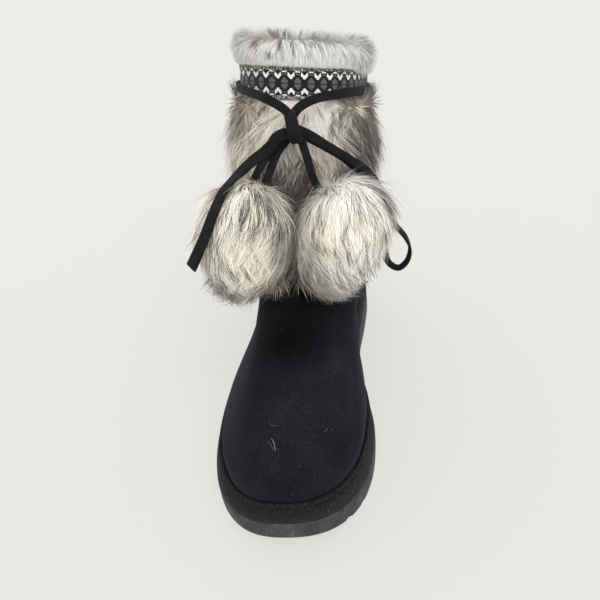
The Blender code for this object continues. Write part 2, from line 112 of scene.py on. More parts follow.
LOOP_ROUTE = ((10, -13.0, 191.0), (16, -12.0, 187.6), (23, -9.6, 181.8), (34, -5.4, 173.0), (48, -1, 160.4),
              (55, 0, 146), (61, 0, 129), (67.5, 0, 120), (70.3, 0, 112), (68.5, 0, 103), (63, 0, 98),
              (57, 0, 102), (54, 0, 112), (52, 1, 126), (49.5, 2.4, 144), (44, 1.6, 158), (33.6, -3, 171),
              (22, -7.2, 180.6), (14, -10.4, 186.4))
STRING_ROUTES = {
    "pompom_lateral": (
        ((5.0, -12.6, 187.0), (-1.6, -14.4, 179.6), (-7.0, -21.0, 169.0), (-12.6, -28.0, 158.0)),
        ((4.4, -13.0, 187.6), (-4.6, -15.2, 181.0), (-12.2, -23.0, 171.4), (-17.0, -30.0, 160.0)),
    ),
    "pompom_medial": (
        ((11.2, -12.4, 186.0), (13.6, -14.6, 177.0), (17.4, -21.5, 166.0), (24.0, -28.5, 157.0)),
    ),
}
POMPOMS = {
    "pompom_lateral": {"centre": (-23, -36, 134.5), "top": (-11, -25, 165)},
    "pompom_medial": {"centre": (35, -36, 135), "top": (22.5, -25, 164)},
}


def smooth(t):
    """0 to 1 with level ends."""
    t = np.clip(t, 0.0, 1.0)
    return t * t * (3 - 2 * t)


def unit(vectors):
    return vectors / np.maximum(np.linalg.norm(vectors, axis=-1, keepdims=True), 1e-9)


def way_along(points):
    """Distance from the first point to each, from point to point."""
    return np.concatenate([[0], np.cumsum(np.linalg.norm(np.diff(points, axis=0), axis=1))])


def curve_through(knots, values, x):
    """The smooth curve through (knot, value) pairs at each x, by cubic pieces with matching slopes."""
    knots, values, x = (np.asarray(a, float) for a in (knots, values, x))
    low = np.maximum(np.arange(len(knots)) - 1, 0)
    high = np.minimum(np.arange(len(knots)) + 1, len(knots) - 1)
    slope = (values[high] - values[low]) / (knots[high] - knots[low])
    i = np.clip(np.searchsorted(knots, x, "right") - 1, 0, len(knots) - 2)
    span = knots[i + 1] - knots[i]
    t = (x - knots[i]) / span
    a, b = values[i], values[i + 1]
    rise = 3 * (b - a) - span * (2 * slope[i] + slope[i + 1])
    turn = 2 * (a - b) + span * (slope[i] + slope[i + 1])
    return a + t * (span * slope[i] + t * (rise + t * turn))


def nearest_of(spots, points):
    """For each point, the number of the nearest spot."""
    tree = KDTree(len(spots))
    for k, spot in enumerate(spots):
        tree.insert(spot, k)
    tree.balance()
    return np.array([tree.find(p)[1] for p in points])


def soft_noise(points, size, seed):
    """Smooth noise from 0 to 1 over points in space, with lumps of about that size."""
    cells = 24
    lattice = np.random.default_rng(seed).random((cells, cells, cells))
    at = np.asarray(points, float) / size + 1000.0
    cell = np.floor(at).astype(int)
    f = smooth(at - cell)
    total = 0.0
    for corner in np.ndindex(2, 2, 2):
        weight = np.prod(np.where(np.array(corner), f, 1 - f), axis=-1)
        i, j, k = np.moveaxis((cell + corner) % cells, -1, 0)
        total = total + weight * lattice[i, j, k]
    return total


def patchwork(points, patches):
    """Sum of soft patches, each with centre, radius and amount."""
    total = np.zeros(len(points))
    for centre, radius, amount in patches:
        total += amount * np.exp(-((points - np.array(centre)) ** 2).sum(-1) / radius**2)
    return total


# The last, the form that the boot is built on, and the sole


def last_section(height):
    heights = [row[0] for row in LAST_ROWS]
    return {
        name: curve_through(heights, [row[k] for row in LAST_ROWS], height)
        for k, name in enumerate(LAST_COLUMNS)
    }


def half_width(along, heel, waist, ball, heel_at, ball_at, toe_power):
    """Half width of a foot contour: round heel, waist at the arch, full ball and round toe."""
    waist_at = (heel_at + ball_at) / 2
    back = np.clip((heel_at - along) / heel_at, 0, 1)
    front = np.clip((along - ball_at) / (1 - ball_at), 0, 1)
    return np.select(
        [along <= heel_at, along <= waist_at, along <= ball_at],
        [heel * (1 - back**HEEL_POWER) ** (1 / HEEL_POWER),
         heel + (waist - heel) * smooth((along - heel_at) / (waist_at - heel_at)),
         waist + (ball - waist) * smooth((along - waist_at) / (ball_at - waist_at))],
        ball * (1 - front**toe_power) ** (1 / toe_power),
    )


def contour_xy(section, around):
    """(x, y) on a contour; around runs from 0 at the heel by the medial side to 0.5 at the toe."""
    along = (1 - np.cos(2 * np.pi * around)) / 2
    medial = np.mod(around, 1) < 0.5
    inner, outer = (
        half_width(along, section["heel_half"], section["waist_" + end], section["ball_" + end],
                   section["heel_at"], section["ball_" + end + "_at"], section["toe_power"])
        for end in ("in", "out")
    )
    y = section["heel_y"] + (section["toe_y"] - section["heel_y"]) * along
    return section["shift_x"] + np.where(medial, inner, -outer), y


def contour_out(section, around):
    """Outward direction in plan on a contour."""
    x0, y0 = contour_xy(section, around - 0.002)
    x1, y1 = contour_xy(section, around + 0.002)
    return unit(np.stack([y0 - y1, x1 - x0], -1))


def toe_share(y):
    """0 where the sole starts to rise to the toe and 1 at its tip."""
    return np.maximum(0.0, (TOE_SPRING_FROM - y) / (TOE_SPRING_FROM + SOLE_LENGTH / 2))


def bottom_at(y):
    """Height of the tread's lowest face."""
    heel = np.maximum(0.0, (y - HEEL_ROUNDING_FROM) / (SOLE_LENGTH / 2 - HEEL_ROUNDING_FROM))
    arch = np.maximum(0.0, 1 - np.abs(y - ARCH_CENTRE) / ARCH_HALF_LENGTH)
    return TOE_SPRING * toe_share(y) ** 2 + HEEL_ROUNDING * heel**2 + ARCH_HEIGHT * smooth(arch)


def sole_top_at(y):
    """Height of the sole's upper face."""
    heel = smooth((y - HEEL_RISE_FROM) / (HEEL_RISE_TO - HEEL_RISE_FROM))
    return SOLE_WALL + TOE_LIFT * toe_share(y) ** 2 + HEEL_RISE * heel


def sole_ring(inset, height_at, around):
    x, y = contour_xy(SOLE_OUTLINE, around)
    out = contour_out(SOLE_OUTLINE, around)
    return np.stack([x - out[..., 0] * inset, y - out[..., 1] * inset, height_at(y)], -1)


def sink(x, y, height):
    """How far the leaning shaft's ring lies below its height in front."""
    share = smooth((height - LEAN_FROM) / (LEAN_TO - LEAN_FROM))
    return share * (SINK_INWARDS * (x - LEAN_PIVOT[0]) + SINK_BACK * (y - LEAN_PIVOT[1]))


def on_last(around, height, stand_off=0.0):
    """Points on the last's surface, moved outwards in plan by stand_off."""
    values = [np.asarray(a, float) for a in (around, height, stand_off)]
    around, height, stand_off = np.broadcast_arrays(*values)
    section = last_section(height)
    x, y = contour_xy(section, around)
    out = contour_out(section, around)
    lift = (sole_top_at(y) - SOLE_WALL) * (1 - smooth((height - SOLE_WALL) / LIFT_FADE))
    level = height + (lift - sink(x, y, height))
    return np.stack([x + out[..., 0] * stand_off, y + out[..., 1] * stand_off, level], -1)


def on_last_frame(around, height):
    """(outward normal, direction down the surface, direction round it) at points of the last."""
    down = unit(on_last(around, height - 0.5) - on_last(around, height + 0.5))
    ahead = unit(on_last(around + 0.001, height) - on_last(around - 0.001, height))
    normal = unit(np.cross(down, ahead))
    plan = contour_out(last_section(np.asarray(height, float)), around)
    return normal * np.sign((normal[..., :2] * plan).sum(-1, keepdims=True)), down, ahead


def inside_last(around, height, depth):
    """Points inside the last's surface, along its normal."""
    return on_last(around, height) - on_last_frame(around, height)[0] * depth


def even_around(height, count, share=(0.0, 1.0)):
    """Values of around that lie evenly spaced along the contour at a height."""
    fine = np.linspace(0, 1, 2001)
    along = way_along(on_last(fine, height))
    return np.interp(np.linspace(*share, count, endpoint=False) * along[-1], along, fine)


# Materials


class Look:
    """A Principled material and the nodes that make its look."""

    def __init__(self, name, colour, roughness, specular, sheen=(), **emission):
        self.material = bpy.data.materials.new(name)
        self.material.use_nodes = True
        self.shader = self.material.node_tree.nodes["Principled BSDF"]
        values = {"Base Color": (*colour, 1), "Roughness": roughness, "Specular IOR Level": specular}
        values.update(zip(("Sheen Weight", "Sheen Roughness", "Sheen Tint"), sheen))
        values.update((socket.replace("_", " "), value) for socket, value in emission.items())
        for socket, value in values.items():
            self.shader.inputs[socket].default_value = value

    def node(self, kind, values=(), **settings):
        node = self.material.node_tree.nodes.new("ShaderNode" + kind)
        for key, value in settings.items():
            setattr(node, key, value)
        for key, value in dict(values).items():
            node.inputs[key].default_value = value
        return node

    def link(self, out, into):
        self.material.node_tree.links.new(out, into)

    def colour(self, out):
        self.link(out, self.shader.inputs["Base Color"])

    def tint(self):
        """The colour that the mesh itself carries."""
        return self.node("VertexColor", layer_name="tint").outputs["Color"]

    def noise(self, scale, detail=2.0, roughness=0.5):
        node = self.node("TexNoise", {"Scale": scale, "Detail": detail, "Roughness": roughness})
        self.link(self.node("TexCoord").outputs["Object"], node.inputs["Vector"])
        return node.outputs["Fac"]

    def ramp(self, value, *stops):
        """Colours along a value from 0 to 1; a stop has a place and a colour or a grey."""
        node = self.node("ValToRGB")
        band = node.color_ramp.elements
        while len(band) < len(stops):
            band.new(0.5)
        for element, (at, colour) in zip(band, stops):
            element.position = at
            element.color = (*np.broadcast_to(colour, 3), 1)
        self.link(value, node.inputs["Fac"])
        return node.outputs["Color"]

    def mixed(self, blend, first, second, amount=None):
        """Two colours put together, in full or by an amount that varies."""
        node = self.node("Mix", data_type="RGBA", blend_type=blend)
        factor, first_in, second_in = (node.inputs[k] for k in (0, 6, 7))
        self.link(first, first_in)
        self.link(second, second_in)
        if amount is None:
            factor.default_value = 1.0
        else:
            self.link(amount, factor)
        return node.outputs[2]

    def bump(self, height, strength, distance, under=None):
        node = self.node("Bump", {"Strength": strength, "Distance": distance})
        self.link(height, node.inputs["Height"])
        if under is not None:
            self.link(under, node.inputs["Normal"])
        self.link(node.outputs["Normal"], self.shader.inputs["Normal"])
        return node.outputs["Normal"]


def suede_material():
    """Black suede: placed tone, blotches where the nap lies another way, fine nap, dust and sheen."""
    look = Look("suede", (0.009, 0.0095, 0.012), 0.95, 0.08, (0.06, 0.4, (0.46, 0.49, 0.56, 1)))
    blotches = look.ramp(look.noise(34, 4.0, 0.6), (0.32, (0.0062, 0.0066, 0.0090)),
                         (0.50, (0.0092, 0.0098, 0.0128)), (0.70, (0.0130, 0.0137, 0.0170)))
    # the tint holds placed tone with painted highlight and painted shade
    placed = look.mixed("MULTIPLY", blotches, look.tint())
    nap = look.noise(1100, 3.0, 0.7)
    grains = look.ramp(nap, (0.30, (0.45, 0.45, 0.46)), (0.55, 1.0), (0.74, (2.0, 2.0, 2.05)))
    napped = look.mixed("MULTIPLY", placed, grains)
    specks = look.ramp(look.noise(1900, 1.0), (0.70, 0.0), (0.78, (0.035, 0.036, 0.038)))
    dusty = look.ramp(look.noise(30), (0.45, 0.0), (0.65, 1.0))
    look.colour(look.mixed("ADD", napped, specks, dusty))
    dents = look.bump(look.noise(70), 0.22, 0.0010)
    look.bump(nap, 0.55, 0.0005, dents)
    return look.material


def rubber_material():
    """Dark grey foam rubber: pores and a mottled dusty face."""
    look = Look("foam_rubber", (0.040, 0.041, 0.045), 0.7, 0.3)
    dust = look.ramp(look.noise(90, 5.0, 0.65), (0.30, (0.020, 0.021, 0.023)),
                     (0.52, (0.040, 0.041, 0.045)), (0.72, (0.072, 0.074, 0.079)))
    pores = look.ramp(look.noise(1500, 2.0, 0.7), (0.38, 0.62), (0.55, 1.0), (0.72, 1.9))
    look.colour(look.mixed("MULTIPLY", dust, pores))
    wide = look.bump(look.noise(260, 3.0), 0.3, 0.0006)
    look.bump(look.noise(1600, 3.0), 0.5, 0.0004, wide)
    return look.material


def twill_material():
    """Black twill tape: slanted ribs along the tape with painted shade in their grooves, and fuzz on them.
    """
    look = Look("twill", (0.011, 0.011, 0.013), 0.85, 0.15, (0.08, 0.5, (0.45, 0.47, 0.52, 1)))
    wave = look.node("TexWave", {"Scale": 1.0, "Distortion": 0.6, "Detail": 1.0, "Detail Scale": 3.0},
                     bands_direction="DIAGONAL")
    look.link(look.node("UVMap").outputs["UV"], wave.inputs["Vector"])
    ribs = wave.outputs["Fac"]
    # painted shade: the grooves between the ribs are darker than their tops
    shade = look.ramp(ribs, (0.25, (0.0035, 0.0035, 0.0045)), (0.85, (0.019, 0.0195, 0.023)))
    fuzz = look.ramp(look.noise(700, 3.0), (0.35, 0.5), (0.58, 1.1), (0.75, 2.8))
    look.colour(look.mixed("MULTIPLY", shade, fuzz))
    look.bump(ribs, 0.8, 0.0006)
    return look.material


def lace_material():
    """Flat black suede lace, a little worn."""
    look = Look("lace", (0.005, 0.005, 0.006), 0.85, 0.14, (0.10, 0.5, (0.4, 0.4, 0.45, 1)))
    wear = look.noise(120, 3.0)
    look.colour(look.ramp(wear, (0.3, (0.0030, 0.0030, 0.0038)), (0.75, (0.0085, 0.0085, 0.0105))))
    look.bump(look.noise(1500), 0.4, 0.0003)
    return look.material


def lining_material():
    """Black fleece lining."""
    look = Look("fleece", (0.012, 0.012, 0.014), 0.95, 0.1, (0.4, 0.6, (0.4, 0.4, 0.42, 1)))
    tufts = look.noise(380, 4.0, 0.7)
    look.colour(look.ramp(tufts, (0.3, (0.005, 0.005, 0.006)), (0.75, (0.026, 0.026, 0.029))))
    look.bump(tufts, 0.9, 0.0015)
    return look.material


def tinted_material(name, roughness, sheen, relief_scale=None):
    """A material that takes its colour from the piece's own tint."""
    look = Look(name, (0.6, 0.57, 0.5), roughness, 0.25, (sheen, 0.5))
    look.colour(look.tint())
    if relief_scale:
        look.bump(look.noise(relief_scale), 0.5, 0.0003)
    return look.material


# Meshes


def finish_piece(obj, slot, *nodes):
    """Puts a piece in the scene, on the boot's body, in place of its nodes."""
    bpy.context.scene.collection.objects.link(obj)
    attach(obj, BODY)
    if nodes:
        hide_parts(*nodes)
    return obj


def mesh_from_arrays(name, points, faces, material, tint=None, uv=None, normals=None):
    """A smooth-shaded object from points and rows of corners; a row's -1 entries are left out."""
    points = np.asarray(points, float).reshape(-1, 3) * MM
    faces = np.asarray(faces, int)
    corners = faces[faces >= 0]
    starts = np.concatenate([[0], np.cumsum((faces >= 0).sum(1))[:-1]])
    mesh = bpy.data.meshes.new(name)
    mesh.vertices.add(len(points))
    mesh.vertices.foreach_set("co", points.astype(np.float32).ravel())
    mesh.loops.add(len(corners))
    mesh.loops.foreach_set("vertex_index", corners.astype(np.int32))
    mesh.polygons.add(len(faces))
    mesh.polygons.foreach_set("loop_start", starts.astype(np.int32))
    mesh.polygons.foreach_set("use_smooth", np.ones(len(faces), bool))
    mesh.update(calc_edges=True)
    if tint is not None:
        colours = mesh.color_attributes.new("tint", "FLOAT_COLOR", "POINT")
        rgba = np.concatenate([np.asarray(tint, float).reshape(-1, 3), np.ones((len(points), 1))], 1)
        colours.data.foreach_set("color", rgba.astype(np.float32).ravel())
    if uv is not None:
        layer = mesh.uv_layers.new(name="UVMap")
        flat = np.asarray(uv, float).reshape(-1, 2)[corners]
        layer.data.foreach_set("uv", flat.astype(np.float32).ravel())
    if normals is not None:
        mesh.normals_split_custom_set_from_vertices(np.asarray(normals).reshape(-1, 3))
    mesh.materials.append(material)
    return bpy.data.objects.new(name, mesh)


def grid_faces(rows, columns, wrap_rows=False):
    """Corner rows of the quads between neighbours in a grid of points whose columns run round."""
    r = np.arange(rows if wrap_rows else rows - 1)[:, None]
    c = np.arange(columns)[None, :]
    r1, c1 = (r + 1) % rows, (c + 1) % columns
    quads = [r * columns + c, r * columns + c1, r1 * columns + c1, r1 * columns + c]
    return np.stack(np.broadcast_arrays(*quads), -1).reshape(-1, 4)


def ring_piece(name, loops, material, slot, *nodes, uv=None, tint=None):
    """A finished piece of loops that run round the boot, joined in order and back to the first."""
    loops = np.asarray(loops)
    faces = grid_faces(len(loops), loops.shape[1], True)
    obj = mesh_from_arrays(name, loops, faces, material, tint, uv)
    face_outwards(obj)
    return finish_piece(obj, slot, *nodes)


def face_outwards(obj):
    """Turns a closed mesh's faces to the outside."""
    shape = bmesh.new()
    shape.from_mesh(obj.data)
    bmesh.ops.recalc_face_normals(shape, faces=shape.faces)
    shape.to_mesh(obj.data)
    shape.free()


def route_through(points, spacing):
    """Points at about this spacing on the smooth curve through a route's own points."""
    route = np.asarray(points, float)
    at = way_along(route)
    x = np.linspace(0, at[-1], max(2, round(at[-1] / spacing)) + 1)
    return np.stack([curve_through(at, route[:, axis], x) for axis in range(3)], -1)


# The foot

UPPER_LOW = 17.4
FOOTBED_HEIGHT = 22.0
# share of the footbed's half width, height above the sole
INSOLE_ROWS = ((0.98, 0.4), (1.0, 2.5), (0.99, 5.0), (0.93, 4.8), (0.8, 4.4), (0.5, 4.2), (0.2, 4.2))
INSOLE_THICKNESS = 3.5
# share of the wall's height, inset from the sole's outline
SOLE_WALL_ROWS = ((0.0, 2.4), (0.04, 1.7), (0.12, 0.9), (0.28, 0.25), (0.5, 0.1), (0.72, 0.2), (0.84, 0.45),
                  (0.87, 0.75), (0.90, 0.3), (0.96, 0.2), (1.0, 1.0))
GROOVE_REACH = 70.0
BRAID_RADIUS, BRAID_SIDES, BRAID_STEPS = 1.35, 10, 900
BRAID_PITCH = 2.6
WEAVE_SCALE = 0.42
CREASES = (
    # start, middle, end, half width, depth
    ((-30, -60, 62), (0, -70, 84), (34, -62, 66), 6.0, 0.5),
    ((-27, -38, 74), (4, -46, 92), (32, -36, 76), 7.0, 0.7),
    ((31, -46, 72), (37, -72, 62), (40, -100, 48), 5.0, 0.8),
    ((-33, 10, 70), (-36, 34, 62), (-38, 60, 66), 8.0, 0.9),
    ((32, 6, 74), (33, 30, 64), (36, 58, 66), 8.0, 0.9),
    ((-36, 92, 96), (-2, 124, 88), (34, 94, 96), 6.0, 0.8),
)
# Nap blotches, a painted highlight along the medial ridge, and painted shade beside it and on the neck
# under the pompoms
NAP_AND_PAINTED_LIGHT_PATCHES = (
    # centre, radius, how much lighter
    ((-9, -58, 86), 15, -0.42), ((8, -40, 98), 24, -0.55), ((-18, -84, 66), 18, -0.12),
    ((28, -66, 73), 9, 0.40), ((34, -86, 60), 9, 0.30), ((6, -90, 70), 12, 0.12), ((4, -62, 80), 16, -0.50),
    ((16, -112, 52), 16, 0.16), ((-16, -112, 50), 14, 0.08), ((40, -40, 56), 16, -0.25),
    ((0, 124, 70), 24, 0.15), ((-38, 60, 60), 24, 0.12), ((36, 60, 60), 24, 0.10),
)
LINT_HAIRS = (
    # around, height, length, heading, bow, lightness
    (0.508, 59.8, 6.5, -0.40, 0.07, 0.34), (0.513, 59.2, 5.8, -0.75, 0.10, 0.10),
    (0.512, 65.6, 4.2, 1.7, 0.14, 0.09), (0.440, 60.5, 2.0, 1.2, 0.2, 0.13),
)
SPECKS, SPECKS_ALL_ROUND = 110, 30


def crease_depth(points):
    """How far the suede is pressed in by soft creases."""
    depth = np.zeros(len(points))
    t = np.linspace(0, 1, 25)[:, None]
    for *ends, half_width_mm, deep in CREASES:
        start, middle, end = np.array(ends, float)
        bend = 2 * middle - (start + end) / 2
        line = (1 - t) ** 2 * start + 2 * t * (1 - t) * bend + t**2 * end
        away = np.linalg.norm(points - line[nearest_of(line, points)], axis=-1)
        depth += deep * np.exp(-(away / half_width_mm) ** 2)
    return depth


def suede_relief(points):
    """How far the suede stands off the last: slightly uneven, less its creases."""
    uneven = 1.0 * (soft_noise(points, 26, 3) - 0.5) + 0.35 * (soft_noise(points, 9, 4) - 0.5)
    return uneven - crease_depth(points)


def suede_tone_with_painted_light(points):
    """Lightness of the suede: nap blotches, painted highlight and shade, and painted shade under the fur.
    """
    # the patches hold nap blotches with painted highlight and shade; the fall towards the top is painted
    # shade under the fur
    return (1 + patchwork(points, NAP_AND_PAINTED_LIGHT_PATCHES)) * (1 - 0.6 * smooth((points[:, 2] - 84) / 18))


def make_upper(suede):
    """Suede foot with its soft creases and a slightly uneven hand-lasted surface."""
    around = even_around(40.0, 220)
    heights = np.concatenate([np.linspace(UPPER_LOW, 96, 60), np.linspace(98, UPPER_TOP, 12)])
    outer = np.array([on_last(around, h) for h in heights])
    normal = np.array([on_last_frame(around, h)[0] for h in heights])
    above_tape = smooth((heights - 26) / 8)[:, None, None]
    relief = suede_relief(outer.reshape(-1, 3)).reshape(len(heights), -1, 1)
    outer = outer + normal * above_tape * relief
    inner = outer - normal * UPPER_WALL
    inner[[0, -1], :, 2] = outer[[0, -1], :, 2]
    loops = np.concatenate([outer, inner[::-1]])
    tint = np.repeat(suede_tone_with_painted_light(loops.reshape(-1, 3))[:, None], 3, 1)
    return ring_piece("upper_suede", loops, suede, "upper_suede", "upper", tint=tint)


def make_lining(fleece):
    """Fleece on the inside of the foot and the shaft, from the footbed to under the cuff."""
    around = even_around(60.0, 140)
    heights = np.concatenate([np.linspace(FOOTBED_HEIGHT, 90, 22), np.linspace(98, COLLAR_HEIGHT + 1, 24)])
    face, back = ([inside_last(around, h, UPPER_WALL + gap) for h in heights] for gap in (0.5, 0.1))
    return ring_piece("lining_fleece", face + back[::-1], fleece, "insole_felt")


def make_insole(fleece):
    """Footbed, cupped at its edge."""
    base = inside_last(even_around(27.0, 120), FOOTBED_HEIGHT, UPPER_WALL + 0.8)
    loops = []
    for share, rise in INSOLE_ROWS:
        ring = base * [share, 1 - (1 - share) * 0.12, 1]
        ring[:, 2] = sole_top_at(ring[:, 1]) + rise
        loops.append(ring)
    loops.append(loops[-1] - [0, 0, INSOLE_THICKNESS])
    return ring_piece("insole_felt", loops, fleece, "insole_felt", "insole")


def make_outsole(rubber):
    """Moulded sole: lip under the tape, slightly bowed wall with a shallow groove, and lugs."""
    count = 240
    around = np.arange(count) / count
    loops = [
        sole_ring(inset, lambda y, s=share: bottom_at(y) + (sole_top_at(y) - bottom_at(y)) * s, around)
        for share, inset in SOLE_WALL_ROWS
    ]
    caps = []
    for start in (0, (len(loops) - 1) * count):
        for k in range(count // 2):
            ends = list(dict.fromkeys(start + j % count for j in (k, k + 1, -k - 1, -k)))
            caps.append(ends + [-1] * (4 - len(ends)))
    faces = np.concatenate([grid_faces(len(loops), count), caps])
    obj = mesh_from_arrays("outsole_rubber", loops, faces, rubber)
    face_outwards(obj)
    finish_piece(obj, "sole_rubber", "outsole")
    cut_grooves(obj)
    return obj


def cut_grooves(sole):
    """Swept grooves across the tread, cut from the sole."""
    box_faces = np.array([(0, 1, 3, 2), (4, 6, 7, 5), (0, 4, 5, 1),
                          (2, 3, 7, 6), (0, 2, 6, 4), (1, 5, 7, 3)])
    points, faces = [], []
    first, last = -SOLE_LENGTH / 2 + GROOVE_PITCH, SOLE_LENGTH / 2 - GROOVE_PITCH
    for y in np.arange(first, last + 0.1, GROOVE_PITCH):
        for side in (1, -1):
            faces.append(box_faces + len(points))
            for far, dy, top in np.ndindex(2, 2, 2):
                reach = GROOVE_REACH if far else 0.4
                swept = y + GROOVE_SWEEP * reach / GROOVE_REACH + (dy - 0.5) * GROOVE_WIDTH
                points.append((side * reach, swept, bottom_at(y) + GROOVE_DEPTH if top else -5.0))
    cutter = mesh_from_arrays("grooves", points, np.concatenate(faces), sole.data.materials[0])
    bpy.context.scene.collection.objects.link(cutter)
    face_outwards(cutter)
    cut = sole.modifiers.new("grooves", "BOOLEAN")
    cut.object = cutter
    bpy.context.view_layer.update()
    carved = bpy.data.meshes.new_from_object(sole.evaluated_get(bpy.context.evaluated_depsgraph_get()))
    sole.modifiers.clear()
    sole.data = carved
    carved.set_sharp_from_angle(angle=math.radians(35))
    bpy.data.objects.remove(cutter)


def tape_uv(along, across):
    """Places on the tape for its weave."""
    across = np.asarray(across, float)[:, None]
    return np.stack(np.broadcast_arrays(along[None, :], across), -1) * WEAVE_SCALE


def make_welt(twill):
    """Twill tape that leans from the sole's edge on to the upper, with a braid along its top."""
    around = np.arange(400) / 400
    along = way_along(on_last(around, 27.0))

    def at_sole(inset, rise):
        return sole_ring(inset, lambda y: sole_top_at(y) + rise, around)

    edge = ((1.9, 0.3), (0.7, 0.9), (0.6, 2.0), (0.9, 3.6), (1.5, 5.4), (2.4, 7.2))
    inside = ((26.8, 1.0), (26.0, 0.4), (21, 0.4), (UPPER_LOW, 0.4))
    section = [at_sole(inset, rise) for inset, rise in edge]
    section.append((at_sole(3.3, 8.6) + on_last(around, 26.2, 2.4)) / 2)
    section += [on_last(around, height, gap) for height, gap in inside]
    uv = tape_uv(along, (0.0, 1.2, 2.3, 4.0, 5.9, 7.9, 10.0, 11.4, 12.2, 17.0, 21.0))
    ring_piece("welt_tape", section, twill, "welt_twill", "welt", uv=uv)

    share = np.arange(BRAID_STEPS) / BRAID_STEPS
    braid_around = np.interp(share * along[-1], along, np.append(around[:-1], 1.0))
    turns = round(along[-1] / BRAID_PITCH)
    loops = []
    for angle in 2 * math.pi * np.arange(BRAID_SIDES) / BRAID_SIDES:
        radius = BRAID_RADIUS * (1 + 0.16 * np.cos(3 * angle + 2 * math.pi * turns * share))
        height, gap = 27.6 + math.sin(angle) * radius, 1.75 + math.cos(angle) * radius
        loops.append(on_last(braid_around, height, gap))
    uv = tape_uv(np.linspace(0, along[-1], BRAID_STEPS), range(BRAID_SIDES))
    return ring_piece("welt_braid", loops, twill, "welt_twill", uv=uv)


def make_lint(material):
    """Specks caught on the suede and a few long pale hairs on the toe."""
    chance = np.random.default_rng(12)
    specks = (
        np.concatenate([chance.uniform(0.30, 0.70, SPECKS - SPECKS_ALL_ROUND),
                        chance.uniform(0, 1, SPECKS_ALL_ROUND)]),
        chance.uniform(34, 92, SPECKS),
        chance.choice([0.25, 0.4, 0.6], SPECKS, p=[0.55, 0.35, 0.1]),
        chance.uniform(0, 2 * np.pi, SPECKS),
        chance.uniform(-0.3, 0.3, SPECKS),
        chance.uniform(0.05, 0.26, SPECKS),
    )
    around, height, length, turn, bow, shade = np.concatenate([np.array(LINT_HAIRS).T, specks], 1)
    normal, down, ahead = on_last_frame(around, height)
    spots = on_last(around, height)
    spots = spots + normal * (suede_relief(spots) + 0.2)[:, None]
    heading = down * np.cos(turn)[:, None] + ahead * np.sin(turn)[:, None]
    across = np.cross(normal, heading)
    points = []
    for s in (-0.5, -0.25, 0.0, 0.25, 0.5):
        bowed = across * (bow * length * (1 - 4 * s * s))[:, None]
        middle = spots + heading * (s * length)[:, None] + bowed
        points += [middle + across * 0.07, middle - across * 0.07]
    strip = np.array([[k, k + 1, k + 3, k + 2] for k in (0, 2, 4, 6)])
    faces = (strip[None] + 10 * np.arange(len(spots))[:, None, None]).reshape(-1, 4)
    tint = np.repeat(shade, 10)[:, None] * np.array([1.0, 1.0, 0.97])
    return finish_piece(mesh_from_arrays("lint", np.stack(points, 1), faces, material, tint), "upper_suede")


# The band

CHART = (
    "mmmmmmmmmmmm",
    "mmmmmmmmmmmm",
    "mmmmmmmmmmmm",
    "kkkkwwwwkkkk",
    "kkwkkkkkkwkk",
    "kwwkggggkwwk",
    "wwwgkkkkgwww",
    "wwkkkkkkkkww",
    "wkkkkggkkkkw",
    "kkkkggggkkkk",
    "kkkggggggkkk",
    "kkkggggggkkk",
    "kkkddddddkkk",
)
BAND_REPEATS = 46
BAND_STAND_OFF, RAISED_STITCH = 1.4, 0.35
THREADS = {"w": (0.80, 0.79, 0.76), "k": (0.006, 0.006, 0.007), "g": (0.095, 0.097, 0.104),
           "d": (0.022, 0.022, 0.025)}
MELANGE = ((0.012, 0.012, 0.014), (0.05, 0.05, 0.053), (0.16, 0.16, 0.16), (0.36, 0.35, 0.33))


def make_band(woven):
    """Woven ribbon: one small face for each stitch of a given repeat, mirrored about its middle."""
    chance = np.random.default_rng(5)
    chart = [line * BAND_REPEATS for line in CHART + CHART[-2::-1]]
    rows, columns = len(chart), len(chart[0])
    around = np.append(even_around(210.0, columns), 1.0)[None, :]
    heights = np.linspace(BAND_HIGH - 0.2, BAND_LOW + 0.2, rows + 1)[:, None]
    stitches = np.array([list(line) for line in chart])
    stand_off = BAND_STAND_OFF + np.where(np.isin(stitches, ("w", "m")), RAISED_STITCH, 0.0)
    corners = [
        on_last(around[:, c : c + columns], heights[r : r + rows], stand_off)
        for r, c in ((0, 0), (0, 1), (1, 1), (1, 0))
    ]
    tint = []
    for stitch in stitches.ravel():
        colour = MELANGE[chance.integers(len(MELANGE))] if stitch == "m" else THREADS[stitch]
        tint += [np.array(colour) * chance.uniform(0.8, 1.15)] * 4
    faces = np.arange(4 * stitches.size).reshape(-1, 4)
    obj = mesh_from_arrays("band_weave", np.stack(corners, 2), faces, woven, tint)
    return finish_piece(obj, "band_woven", "woven_band")


# Laces

LACE_WIDTH, LACE_THICKNESS = 5.0, 1.9
LACE_SIDES = 16
TAIL_WIDTH, TAIL_THICKNESS = 6.4, 1.6
STRING_WIDTH = 4.4
KNOT_FOLDS = (
    # route, width, thickness, side that the broad face is turned to
    (((6.4, -11.4, 199.0), (7.8, -15.8, 196.2), (8.6, -18.0, 191.6), (9.0, -17.6, 187.6),
      (9.2, -13.0, 184.6)), 6.8, 2.8, (0, -1, 0.3)),
    (((3.0, -12.6, 188.4), (7.0, -13.8, 186.4), (11.6, -13.2, 186.2), (15.0, -11.6, 187.6)),
     5.0, 3.0, (0, -1, 0.1)),
)


def squared_off(value, power):
    """A sine or cosine, flattened so that a round section becomes a squarer one."""
    return math.copysign(abs(value) ** power, value)


